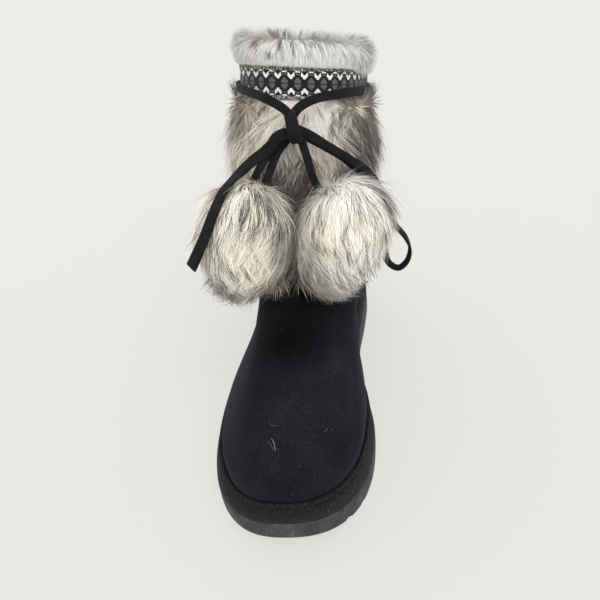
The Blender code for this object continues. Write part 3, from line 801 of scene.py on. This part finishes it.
def lace_piece(name, route, facing, material, *nodes, width=LACE_WIDTH, thickness=LACE_THICKNESS):
    """A flat lace along a route, its broad side turned towards facing, with square-cut ends."""
    route = np.asarray(route)
    tangent = unit(np.gradient(route, axis=0))
    facing = np.broadcast_to(np.asarray(facing, float), route.shape)
    face = unit(facing - tangent * (facing * tangent).sum(-1, keepdims=True))
    side = np.cross(tangent, face)
    steps = way_along(route)
    sway = soft_noise(np.stack([steps, 0 * steps, 0 * steps], -1), 14, len(name))
    loops = []
    for angle in 2 * math.pi * np.arange(LACE_SIDES) / LACE_SIDES:
        across = squared_off(math.cos(angle), 0.55)
        up = squared_off(math.sin(angle), 0.8) * (1 + 0.35 * abs(across) ** 6)
        dent = 0.35 * (1 - abs(across)) * (sway - 0.3)
        loops.append(route + side * (across * width / 2 * (0.93 + 0.14 * sway))[:, None]
                     + face * (up * thickness / 2 - dent)[:, None])
    first_end = np.arange(LACE_SIDES)
    ends = [first_end, first_end + (len(route) - 1) * LACE_SIDES]
    walls = np.pad(grid_faces(len(route), LACE_SIDES), ((0, 0), (0, LACE_SIDES - 4)), constant_values=-1)
    obj = mesh_from_arrays(name, np.stack(loops, 1), np.concatenate([walls, ends]), material)
    face_outwards(obj)
    obj.data.set_sharp_from_angle(angle=math.radians(60))
    return finish_piece(obj, "cord_suede", *nodes)


def wrap_points(side):
    """The drawstring's way round one side of the shaft."""
    share, height, stand_off = np.array(WRAP_ROUTE).T
    around = np.arccos(1 - 2 * share) / (2 * math.pi)
    return on_last(around if side > 0 else 1 - around, height, stand_off)


def make_drawstring(leather):
    """Lace on the band round the shaft that crosses in front, the lateral end over the medial one."""
    lateral, medial = wrap_points(-1), wrap_points(1)
    points = np.concatenate([CROSSING_OVER[::-1], lateral[::-1], medial[1:], CROSSING_UNDER])
    route = route_through(points, 2.0)
    middle = np.array([4.5, 60.0, 0.0])
    facing = unit((route - middle) * [1, 0.6, 0])
    front = smooth((10 - route[:, 1]) / 14)[:, None]
    facing = facing * (1 - front) + unit(np.array([0.0, -1.0, 0.45])) * front
    lace_piece("drawstring_lace", route, facing, leather, "drawstring")
    return route


def make_knot(leather):
    """Knot: an upright turn of lace with another turn behind it."""
    turns = []
    for number, (points, width, thickness, facing) in enumerate(KNOT_FOLDS):
        nodes = ("bow_knot",) if number == 0 else ()
        route = route_through(points, 1.2)
        turns.append(lace_piece(f"knot_turn_{number}", route, facing, leather, *nodes,
                                width=width, thickness=thickness))
    return turns


def make_tail(leather):
    """The bow's free end."""
    route = route_through(TAIL_ROUTE, 2.0)
    swing = np.linspace(0, 1, len(route))[:, None]
    facing = np.array([-0.35, -1.0, 0.5]) * (1 - swing) + np.array([-0.55, -1.0, 0.25]) * swing
    piece = lace_piece("tail_lace", route, facing, leather, "bow_tail",
                       width=TAIL_WIDTH, thickness=TAIL_THICKNESS)


def make_loop(leather):
    """The bow's hanging loop, which turns its broad side outwards at the bottom."""
    route = route_through(LOOP_ROUTE, 2.0)
    swing = smooth((route[:, 0] - 30) / 25)[:, None]
    facing = np.array([0.2, -1.0, 0.5]) * (1 - swing) + np.array([0.9, -0.25, 0.25]) * swing
    bottom = smooth((125 - route[:, 2]) / 25)[:, None]
    facing = facing * (1 - bottom) + unit(route - np.array([60.0, -5.0, 114.0])) * bottom
    lace_piece("loop_lace", route, facing, leather, "bow_loop")


def make_strings(leather):
    """The pompoms' strings from the knot."""
    for name, routes in STRING_ROUTES.items():
        for number, points in enumerate(routes):
            route = route_through(points, 1.5)
            nodes = (name + "_string",) if number == 0 else ()
            piece = lace_piece(f"{name}_lace_{number}", route, (0, -1, 0.3), leather, *nodes,
                               width=STRING_WIDTH)


# Fur

CREAM = np.array((0.93, 0.87, 0.735))
WHITE = np.array((0.95, 0.94, 0.89))
TAUPE = np.array((0.36, 0.31, 0.255))
UMBER = np.array((0.060, 0.047, 0.040))
SOOT = np.array((0.016, 0.014, 0.014))
CUFF_GREY = np.array((0.90, 0.91, 0.93))
# Laces hold down the hairs this near their middle, with a soft edge, to this depth, unless too far above
LACE_HOLD, HOLD_EDGE, HOLD_DEPTH, HOLD_REACH = 5.0, 1.6, 1.4, 14.0


def hair_mesh(name, roots, normal, flow, length, rise, width, tint, material, chance, laces=None):
    """Hairs as slim tapering ribbons of three parts.

    flow holds the directions along the skin at a hair's start and end. rise holds how far it stands off at
    its start and how much of that it loses by its tip, as shares of its length. tint holds the colours at
    root, middle and tip. Hairs pass under the points of laces, and their shading leans to that of the skin,
    which keeps the fur soft.
    """
    count = len(roots)
    s = np.array([0.0, 0.36, 0.70, 1.0])[None, :, None]
    taper = np.array([0.9, 1.0, 0.72, 0.0])[None, :, None]
    skin = normal[:, None]
    stand = skin * (rise[0][:, None, None] * s - rise[1][:, None, None] * s**2)
    run = flow[0][:, None] * (0.62 * s - 0.12 * s**2) + flow[1][:, None] * (0.45 * s**2)
    points = roots[:, None] + length[:, None, None] * (stand + run)
    if laces is not None:
        points = pressed_under(points, normal, laces)
    along = unit(np.gradient(points, axis=1))
    twist = chance.normal(0, 0.25, count)[:, None, None]
    side = unit(np.cross(along, skin) * np.cos(twist) + skin * np.sin(twist))
    half = width[:, None, None] / 2 * taper
    ribbon = np.stack([points - side * half, points + side * half], 2).reshape(count, 8, 3)
    verts = np.concatenate([ribbon[:, :6], points[:, 3:]], 1)
    shading = unit(np.cross(side, along) * 0.45 + skin * 0.55)
    normals = shading[:, [0, 0, 1, 1, 2, 2, 3]]
    root, middle, tip = tint
    near_tip = middle * 0.2 + tip * 0.8
    colours = np.stack([root, root, middle, middle, near_tip, near_tip, tip], 1)
    pattern = np.array([[0, 1, 3, 2], [2, 3, 5, 4], [4, 5, 6, -1]])
    faces = np.where(pattern < 0, -1, pattern + 7 * np.arange(count)[:, None, None]).reshape(-1, 4)
    return mesh_from_arrays(name, verts, faces, material, colours, normals=normals)


def pressed_under(points, normal, laces):
    """Hair points that would lie over a lace, pushed back to pass under it."""
    flat = points.reshape(-1, 3)
    outward = np.repeat(normal, points.shape[1], axis=0)
    gap = flat - laces[nearest_of(laces, flat)]
    above = (gap * outward).sum(-1)
    beside = np.linalg.norm(gap - outward * above[:, None], axis=-1)
    hold = smooth((LACE_HOLD - beside) / HOLD_EDGE) * (above < HOLD_REACH)
    return (flat - outward * (np.maximum(0, above + HOLD_DEPTH) * hold)[:, None]).reshape(points.shape)


def fur_tint(guard, light, reach, chance):
    """Root, middle and tip colours of hairs.

    light runs from -1, taupe, by 0, cream, to 1, white. Guard hairs end dark, and reach is how far that
    comes down them.
    """
    count = len(guard)
    shade = chance.uniform(0.88, 1.06, count)[:, None]
    white, taupe = (np.clip(side * light, 0, 1)[:, None] for side in (1, -1))
    pale = (CREAM * (1 - white) + WHITE * white) * shade
    pale = pale * (1 - 0.8 * taupe) + TAUPE * 0.8 * taupe
    deep = chance.random(count)[:, None]
    dark = UMBER * deep + SOOT * (1 - deep)
    is_guard, reach = guard[:, None], np.broadcast_to(reach, count)[:, None]
    root = np.where(is_guard, pale * (1 - 0.6 * reach) + TAUPE * 0.6 * reach, pale)
    brown = TAUPE * (1 - reach) + dark * 1.6 * reach
    middle = np.where(is_guard, pale * (1 - reach) + brown * reach, pale)
    return root, middle, np.where(is_guard, dark, pale)


def guard_hairs(darkness, lock_of, chance):
    """Which hairs are dark-ended: most of those in dark locks and few elsewhere."""
    dark_lock = (chance.random(len(darkness)) < darkness)[lock_of]
    return chance.random(len(lock_of)) < np.where(dark_lock, 0.88, 0.02)


def per_lock(guard, locks, spreads, chance):
    """One random number for each lock, given to all its hairs; locks has the dark locks, then the pale."""
    dark, pale = (
        chance.normal(0, spread, number)[lock_of] for (lock_of, number), spread in zip(locks, spreads)
    )
    return np.where(guard, dark, pale)


def own_curl(guard, spread, chance):
    """What each hair curls by itself, the dark ones less."""
    return chance.normal(0, spread, len(guard)) * np.where(guard, 0.3, 1.0)


def drawn_to_locks(places, pale_middle, dark_middle, guard, chance):
    """How far hairs are drawn to the middle of their lock: the dark ones closely and the others loosely."""
    count = len(places)
    closeness = np.where(guard, chance.uniform(0.5, 0.95, count), chance.uniform(0.0, 0.6, count))
    return (np.where(guard[:, None], dark_middle, pale_middle) - places) * closeness[:, None]


def lock_flow(combed, ahead, sway, curl, pull, slack=1.0):
    """Directions along the skin at the start and the end of hairs that sway, curl and draw together."""
    start = unit(combed + ahead * sway[:, None]) * slack
    return start + pull, unit(start + ahead * curl[:, None]) + pull


# name, share of the way round, seed
SHAFT_HALVES = (("shaft_fur_medial", (0.0, 0.5), 31), ("shaft_fur_lateral", (0.5, 1.0), 32))
SHAFT_COLUMNS, SHAFT_ROWS = 256, 132
SHAFT_FUR_HEIGHT = 97.0
SHAFT_LOCKS, SHAFT_DARK_LOCKS = 1500, 4300
SHAFT_HAIR = 19.5
SHAFT_PATCHES = (
    # centre, radius, how much darker; the two at the front between the pompoms, at heights 150 and 120, are
    # dark fur and painted shade
    ((5, -4, 150), 21, 0.95), ((-15, 2, 190), 13, -0.26), ((22, 4, 192), 14, -0.40),
    ((26, 6, 174), 11, -0.18), ((-12, -2, 166), 15, 0.26), ((44, 34, 180), 24, 0.70),
    ((38, 14, 160), 16, 0.34), ((-30, 10, 177), 17, -0.26), ((-40, 30, 150), 16, -0.10),
    ((8, -4, 173), 12, 0.60), ((5, -14, 120), 18, 0.70), ((8, -4, 201), 12, -0.4),
    ((-42, 60, 135), 26, 0.15), ((44, 70, 140), 26, 0.15), ((5, 122, 150), 34, 0.12),
    ((-20, 112, 185), 24, 0.15), ((30, 110, 120), 24, 0.15),
)


def beside_front(points, fade):
    """0 on the front and the back of the shaft and 1 at its sides."""
    return smooth((np.abs(points[:, 0] - 8) - 14) / fade)


def shaft_darkness(points):
    """Share of dark locks on the shaft: thin streaks down the fur, placed patches and the ruff's ends."""
    streaks = soft_noise(points * [1, 1, 0.35], 7, 21)
    ruff = 0.5 * smooth((points[:, 2] + 0.15 * points[:, 1] - 188) / 10) * beside_front(points, 12)
    return np.clip(1.1 * (streaks - 0.5) + 0.31 + ruff + patchwork(points, SHAFT_PATCHES), 0.02, 0.95)


def lock_means(points, lock_of, number):
    """The mean place of each point's lock."""
    size = np.maximum(np.bincount(lock_of, minlength=number), 1)
    sums = [np.bincount(lock_of, points[:, axis], number) / size for axis in range(3)]
    return np.stack(sums, -1)[lock_of]


def shaft_roots(share, chance):
    """Values of around and height of one half's hairs, each somewhere in its cell of a grid."""
    grid, fine = (SHAFT_ROWS, SHAFT_COLUMNS), 8
    spread = even_around(150.0, SHAFT_COLUMNS * fine, share)
    pick = (np.arange(SHAFT_COLUMNS)[None, :] + chance.random(grid)) * fine
    level = (np.arange(SHAFT_ROWS)[:, None] + chance.random(grid)) / SHAFT_ROWS
    around = spread[np.minimum(pick.astype(int), len(spread) - 1)]
    return around.ravel(), (FUR_HEM + 1 + level * SHAFT_FUR_HEIGHT).ravel()


def make_shaft_fur(name, share, seed, fur, laces):
    """Long downward fur on one half of the shaft, in locks, with a ragged hem and a ruff."""
    chance = np.random.default_rng(seed)
    around, height = shaft_roots(share, chance)
    count = len(height)
    roots = on_last(around, height, 1.0)
    normal, down, ahead = on_last_frame(around, height)
    pale_lock = nearest_of(roots[chance.choice(count, SHAFT_LOCKS, replace=False)], roots)
    dyed = roots[chance.choice(count, SHAFT_DARK_LOCKS, replace=False)]
    dark_lock = nearest_of(dyed, roots)
    locks = (dark_lock, SHAFT_DARK_LOCKS), (pale_lock, SHAFT_LOCKS)
    guard = guard_hairs(shaft_darkness(dyed), dark_lock, chance)
    # pale hairs turn taupe in the same patches, partly as painted shade between the pompoms
    light = 0.05 + 1.9 * (soft_noise(roots, 24, 34) - 0.5) - 0.5 * patchwork(roots, SHAFT_PATCHES)
    tint = fur_tint(guard, light, np.clip(0.15 + 0.85 * shaft_darkness(roots), 0.2, 0.85), chance)
    sway = per_lock(guard, locks, (0.28, 0.28), chance) + 2.2 * (soft_noise(roots, 15, 33) - 0.5)
    curl = per_lock(guard, locks, (0.45, 0.45), chance) + own_curl(guard, 0.2, chance)
    top = smooth((height - 192) / 9)
    ruff = top * np.maximum(beside_front(roots, 14), 0.8 * smooth((roots[:, 1] - 40) / 30))
    length = chance.uniform(0.75, 1.2, SHAFT_LOCKS)[pale_lock] * chance.uniform(0.74, 1.06, count)
    length = SHAFT_HAIR * length * (1 - 0.5 * top) * np.where(guard, 1.12, 1.0)
    pull = drawn_to_locks(roots, lock_means(roots, pale_lock, SHAFT_LOCKS), dyed[dark_lock], guard, chance)
    flow = lock_flow(down * (1 - 1.7 * ruff)[:, None], ahead, sway, curl, pull / length[:, None])
    rise = (chance.normal(0.60, 0.11, count) + 0.16 * ruff + 0.12 * guard, chance.normal(0.38, 0.08, count))
    width = chance.uniform(0.17, 0.29, count) * np.where(guard, 1.25, 1.0)
    obj = hair_mesh(name, roots, normal, flow, length, rise, width, tint, fur, chance, laces)
    return finish_piece(obj, "shaft_fur", "shaft")


def make_shaft_backing(backing):
    """Knitted backing of the shaft that the fur grows from."""
    around = even_around(150.0, 160)
    heights = np.concatenate([np.linspace(FUR_HEM + 1, UPPER_TOP, 6), np.linspace(126, COLLAR_HEIGHT, 30)])
    outer = np.array([on_last(around, h, 0.9) for h in heights])
    inner = np.array([on_last(around, h, 0.3 if h <= UPPER_TOP else -UPPER_WALL) for h in heights])
    loops = np.concatenate([outer, inner[::-1]])
    tint = TAUPE + (CREAM - TAUPE) * soft_noise(loops.reshape(-1, 3), 12, 8)[:, None] * 0.6
    return ring_piece("shaft_backing", loops, backing, "shaft_fur", "shaft", tint=tint)


CUFF_ROLL = (
    # height above the band's top, stand-off
    (0.3, 0.8), (0.7, 1.8), (3.5, 2.4), (7.0, 2.5), (10.2, 2.0), (12.2, 0.6), (12.4, -1.2), (11.4, -2.6),
    (9.4, -3.3),
)
CUFF_PATCHES = (
    # centre, radius, how much darker
    ((4, 1, 233.5), 6, 1.1), ((22, 2, 232.5), 6, 1.0), ((-12, 4, 233.5), 6, 0.9), ((46, 40, 222), 12, 0.4),
    ((-30, 30, 226), 10, 0.25),
)
CUFF_HAIRS, CUFF_LOCKS = 31000, 2400


def cuff_roll(t):
    """Height above the band's top and stand-off on the cuff's roll; t runs from hem to rim and in."""
    knots = np.linspace(0, 1, len(CUFF_ROLL))
    return [curve_through(knots, column, np.clip(t, 0, 1)) for column in np.array(CUFF_ROLL).T]


def on_cuff(around, t):
    rise, stand_off = cuff_roll(t)
    return on_last(around, BAND_HIGH + rise, stand_off)


def make_cuff_backing(backing):
    """Knitted backing of the rolled collar."""
    around = even_around(225.0, 160)
    loops = np.array([on_cuff(around, t) for t in np.linspace(0, 1, 17)])
    tint = np.broadcast_to(WHITE * 0.85, (loops.size // 3, 3))
    return ring_piece("cuff_backing", loops, backing, "cuff_fur", "cuff", tint=tint)


def make_cuff_fur(fur):
    """Short dense white fur over the rolled collar, with grey tips along its lower edge and rim."""
    chance = np.random.default_rng(41)
    count = CUFF_HAIRS
    around = even_around(225.0, count)[chance.permutation(count)]
    t = chance.random(count) ** 0.9
    roots = on_cuff(around, t)
    back = unit(on_cuff(around, t - 0.01) - on_cuff(around, t + 0.01))
    ahead = on_last_frame(around, np.full_like(t, BAND_HIGH))[2]
    normal = unit(np.cross(ahead, back))
    rim = smooth((t - 0.5) / 0.3)
    inside = smooth((t - 0.75) / 0.2)
    hem = np.exp(-((t - 0.02) / 0.06) ** 2)
    sway = chance.normal(0, 0.12, count) + 0.7 * (soft_noise(roots, 14, 42) - 0.5)
    flow = unit(back * (1 - 1.9 * inside)[:, None] + ahead * sway[:, None])
    to_band = chance.uniform(6.5, 9.5, count), chance.uniform(0.9, 1.15, count) * cuff_roll(t)[0] + 0.4
    length = np.minimum(*to_band) + 4.0 * smooth((roots[:, 0] - 36) / 8) * (1 - rim)
    length = length + hem * chance.exponential(0.7, count)
    picked = chance.choice(count, CUFF_LOCKS, replace=False)
    lock_of = nearest_of(roots[picked], roots)
    share = 0.01 + 0.20 * hem + 0.20 * rim * soft_noise(roots, 12, 43) + patchwork(roots, CUFF_PATCHES)
    guard = guard_hairs(np.clip(share[picked], 0, 0.8), lock_of, chance)
    length = length * np.where(guard, 0.8 + 0.2 * hem, 1.0)
    light = np.clip(0.95 + 0.4 * (soft_noise(roots, 9, 44) - 0.5), 0, 1)
    tint = [part * CUFF_GREY for part in fur_tint(guard, light, np.clip(0.2 + share, 0, 0.85), chance)]
    rise = 0.36 + 0.25 * rim + 0.12 * guard, 0.20 + 0.05 * rim
    width = chance.uniform(0.17, 0.27, count)
    obj = hair_mesh("cuff_fur", roots, normal, (flow, flow), length, rise, width, tint, fur, chance)
    return finish_piece(obj, "cuff_fur", "cuff")


POMPOM_SKIN, POMPOM_STRETCH = 22.0, 1.34
POMPOM_OFFSET = 3.0
POMPOM_HAIR = 25.0
POMPOM_HAIRS, POMPOM_LOCKS, POMPOM_DARK_LOCKS = 27000, 600, 2300
POMPOM_FUR = {
    # comb: direction from the centre that the hairs are combed away from. lean: how far the ball leans to
    # the medial side with its height. aside: how far it hangs to that side. white: how white its pale hairs
    # are. dark and longer: direction, radius and amount of soft patches
    "pompom_lateral": {
        "comb": (0.35, 0.55, 0.76), "lean": 0.10, "aside": 0.0, "white": 0.40,
        "dark": (((-0.9, -0.3, 0.2), 0.45, 0.16), ((-0.5, -0.6, -0.6), 0.40, 0.16),
                 ((0.8, -0.3, 0.4), 0.45, 0.34), ((0.3, 0.1, 0.95), 0.50, 0.38),
                 ((0.0, -1.0, 0.15), 0.60, -0.18), ((0.9, -0.2, -0.4), 0.45, 0.26)),
        "longer": (((-0.9, -0.2, 0.1), 0.6, -0.15), ((0.4, 0.2, 0.9), 0.6, 0.20)),
    },
    "pompom_medial": {
        "comb": (-0.45, 0.50, 0.74), "lean": 0.28, "aside": -3.5, "white": 0.66,
        "dark": (((-0.75, -0.4, 0.5), 0.42, 0.42), ((0.5, -0.3, 0.8), 0.45, 0.34),
                 ((-0.2, -0.5, -0.85), 0.40, 0.18), ((0.5, -0.8, -0.3), 0.60, -0.14),
                 ((-0.1, -1.0, 0.0), 0.30, 0.14), ((-0.9, -0.3, -0.4), 0.45, 0.34)),
        "longer": (((0.8, -0.3, -0.55), 0.65, -0.55),),
    },
}


def pompom_surface(name, ball):
    """Points of a pompom's core for directions from its centre."""
    centre, top = (np.array(POMPOMS[name][key], float) for key in ("centre", "top"))
    core = centre + unit(top - centre) * POMPOM_OFFSET
    offset = ball * POMPOM_SKIN * [0.97, 1, POMPOM_STRETCH]
    sideways = POMPOM_FUR[name]["aside"] + POMPOM_FUR[name]["lean"] * offset[..., 2:3]
    return core + offset + sideways * np.array([1.0, 0.0, 0.0])


def even_ball(count):
    """Directions spread evenly over a ball, by a spiral from its top."""
    k = np.arange(count) + 0.5
    z = 1 - 2 * k / count
    turn = k * math.pi * (3 - math.sqrt(5))
    return np.stack([np.sqrt(1 - z * z) * np.cos(turn), np.sqrt(1 - z * z) * np.sin(turn), z], -1)


def make_pompom(name, fur, laces):
    """Fur ball combed away from its string, cream with dark-tipped streaks."""
    chance = np.random.default_rng(sum(map(ord, name)))
    style = POMPOM_FUR[name]
    count = POMPOM_HAIRS
    ball = unit(even_ball(count) + chance.normal(0, 0.02, (count, 3)))
    comb = unit(np.array(style["comb"]))
    facing_comb = ball @ comb
    crown = smooth((facing_comb - 0.8) / 0.2)
    away = unit(ball * facing_comb[:, None] - comb)
    sag = unit(np.array([0.0, 0.0, -1.0]) + ball * ball[:, 2:3])
    combed = unit(away + 0.35 * sag)
    ahead = np.cross(ball, combed)
    roots = pompom_surface(name, ball)
    dyed = ball[chance.choice(count, POMPOM_DARK_LOCKS, replace=False)]
    streaks = soft_noise(pompom_surface(name, dyed), 15, 53) - 0.5
    darkness = np.clip(0.11 + 0.9 * streaks + 0.8 * patchwork(dyed, style["dark"]), 0.02, 0.6)
    dark_lock = nearest_of(dyed, ball)
    guard = guard_hairs(darkness, dark_lock, chance)
    light = style["white"] + 1.2 * (soft_noise(roots, 18, 54) - 0.5) - 0.9 * patchwork(ball, style["dark"])
    tint = fur_tint(guard, light, chance.uniform(0.45, 0.9, count), chance)
    tufts = ball[chance.choice(count, POMPOM_LOCKS, replace=False)]
    pale_lock = nearest_of(tufts, ball)
    locks = (dark_lock, POMPOM_DARK_LOCKS), (pale_lock, POMPOM_LOCKS)
    length = chance.uniform(0.88, 1.1, POMPOM_LOCKS)[pale_lock] * chance.uniform(0.7, 1.04, count)
    length = POMPOM_HAIR * length * (1 - 0.2 * crown) * (1 + patchwork(ball, style["longer"]))
    sway = per_lock(guard, locks, (0.18, 0.18), chance) + 2.2 * (soft_noise(roots, 15, 51) - 0.5)
    curl = per_lock(guard, locks, (0.35, 0.3), chance) + own_curl(guard, 0.22, chance)
    pull = drawn_to_locks(ball, tufts[pale_lock], dyed[dark_lock], guard, chance) * POMPOM_SKIN
    flow = lock_flow(combed, ahead, sway, curl, pull / length[:, None], (1 - 0.6 * crown)[:, None])
    rise = (chance.normal(0.50, 0.07, count) + 0.1 * crown + 0.05 * guard,
            chance.normal(0.75, 0.12, count) - 0.3 * crown - 0.05 * guard)
    width = chance.uniform(0.17, 0.30, count) * np.where(guard, 1.45, 1.0)
    obj = hair_mesh(name + "_fur", roots, ball, flow, length, rise, width, tint, fur, chance, laces)
    return finish_piece(obj, "pompom_fur", name)


def make_pompom_core(name, backing):
    """Knitted core that a pompom's hairs grow from."""
    rows, columns = 25, 40
    tilt = np.linspace(0, math.pi, rows)[:, None]
    turn = np.arange(columns)[None, :] / columns * 2 * math.pi
    parts = np.sin(tilt) * np.cos(turn), np.sin(tilt) * np.sin(turn), np.cos(tilt)
    points = pompom_surface(name, np.stack(np.broadcast_arrays(*parts), -1))
    tint = np.broadcast_to(TAUPE, (rows * columns, 3))
    obj = mesh_from_arrays(name + "_core", points, grid_faces(rows, columns), backing, tint)
    return finish_piece(obj, "pompom_fur", name)


# The stage

# The camera stands where the photograph was taken. Its pan and shift bring the boot to the middle
CAMERA_PLACE = (57.3, -296.1, 270.0)
CAMERA_TURN = (56.4, 0.0, -1.65)
CAMERA_PAN = 3.3
CAMERA_LENS = 32.0
CAMERA_SHIFT = -0.12
FLOOR_REACH = 30000
DAYLIGHT = 0.88
# name, direction that the light comes from, apparent size in degrees, strength
LAMPS = (("key", (0.35, -0.85, 1.0), 50, 2.3), ("back", (-0.5, 0.8, 1.0), 60, 0.4))


def make_floor(scene):
    points = [(x * FLOOR_REACH, y * FLOOR_REACH, 0) for x, y in ((-1, -1), (1, -1), (1, 1), (-1, 1))]
    look = Look("pale_floor", (0.17, 0.167, 0.161), 0.9, 0.1,
                Emission_Color=(0.80, 0.785, 0.755, 1), Emission_Strength=0.72)
    floor = mesh_from_arrays("floor", points, [[0, 1, 2, 3]], look.material)
    scene.collection.objects.link(floor)


def make_light(scene):
    world = bpy.data.worlds.new("studio")
    world.use_nodes = True
    world.node_tree.nodes["Background"].inputs["Color"].default_value = (1, 1, 1, 1)
    world.node_tree.nodes["Background"].inputs["Strength"].default_value = DAYLIGHT
    scene.world = world
    for name, source, spread, strength in LAMPS:
        data = bpy.data.lights.new(name, "SUN")
        data.angle = math.radians(spread)
        data.energy = strength
        lamp = bpy.data.objects.new(name, data)
        lamp.rotation_euler = Vector(source).to_track_quat("Z", "Y").to_euler()
        scene.collection.objects.link(lamp)


def make_camera(scene):
    data = bpy.data.cameras.new("camera")
    data.sensor_width = 36
    data.lens = CAMERA_LENS
    data.shift_x = CAMERA_SHIFT
    data.clip_start = 0.01
    camera = bpy.data.objects.new("camera", data)
    camera.location = Vector(CAMERA_PLACE) * MM
    turn = Euler([math.radians(angle) for angle in CAMERA_TURN]).to_matrix()
    camera.rotation_euler = (turn @ Matrix.Rotation(math.radians(CAMERA_PAN), 3, "Y")).to_euler()
    scene.collection.objects.link(camera)
    scene.camera = camera
    scene.view_settings.view_transform = "Standard"


def main():
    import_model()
    for make in (make_floor, make_light, make_camera):
        make(bpy.context.scene)
    leather, backing = lace_material(), tinted_material("knit_backing", 0.95, 0.2, 900)
    fur = tinted_material("fur", 0.6, 0.15)
    fleece = lining_material()
    make_upper(suede_material())
    make_lining(fleece)
    make_insole(fleece)
    make_outsole(rubber_material())
    make_welt(twill_material())
    make_lint(tinted_material("lint", 0.8, 0.0))
    make_band(tinted_material("woven", 0.85, 0.2, 1100))
    string = make_drawstring(leather)
    knot = make_knot(leather)
    tail, loop = route_through(TAIL_ROUTE, 1.5), route_through(LOOP_ROUTE, 1.5)
    turns = [route_through(fold[0], 1.5) for fold in KNOT_FOLDS]
    make_shaft_backing(backing)
    in_front = np.concatenate([string[string[:, 1] < 30], tail, loop] + turns)
    for name, share, seed in SHAFT_HALVES:
        make_shaft_fur(name, share, seed, fur, in_front)
    make_cuff_backing(backing)
    make_cuff_fur(fur)
    for name in POMPOMS:
        make_pompom_core(name, backing)
        make_pompom(name, fur, np.concatenate([tail, loop]))
    make_tail(leather)
    make_loop(leather)
    make_strings(leather)


main()
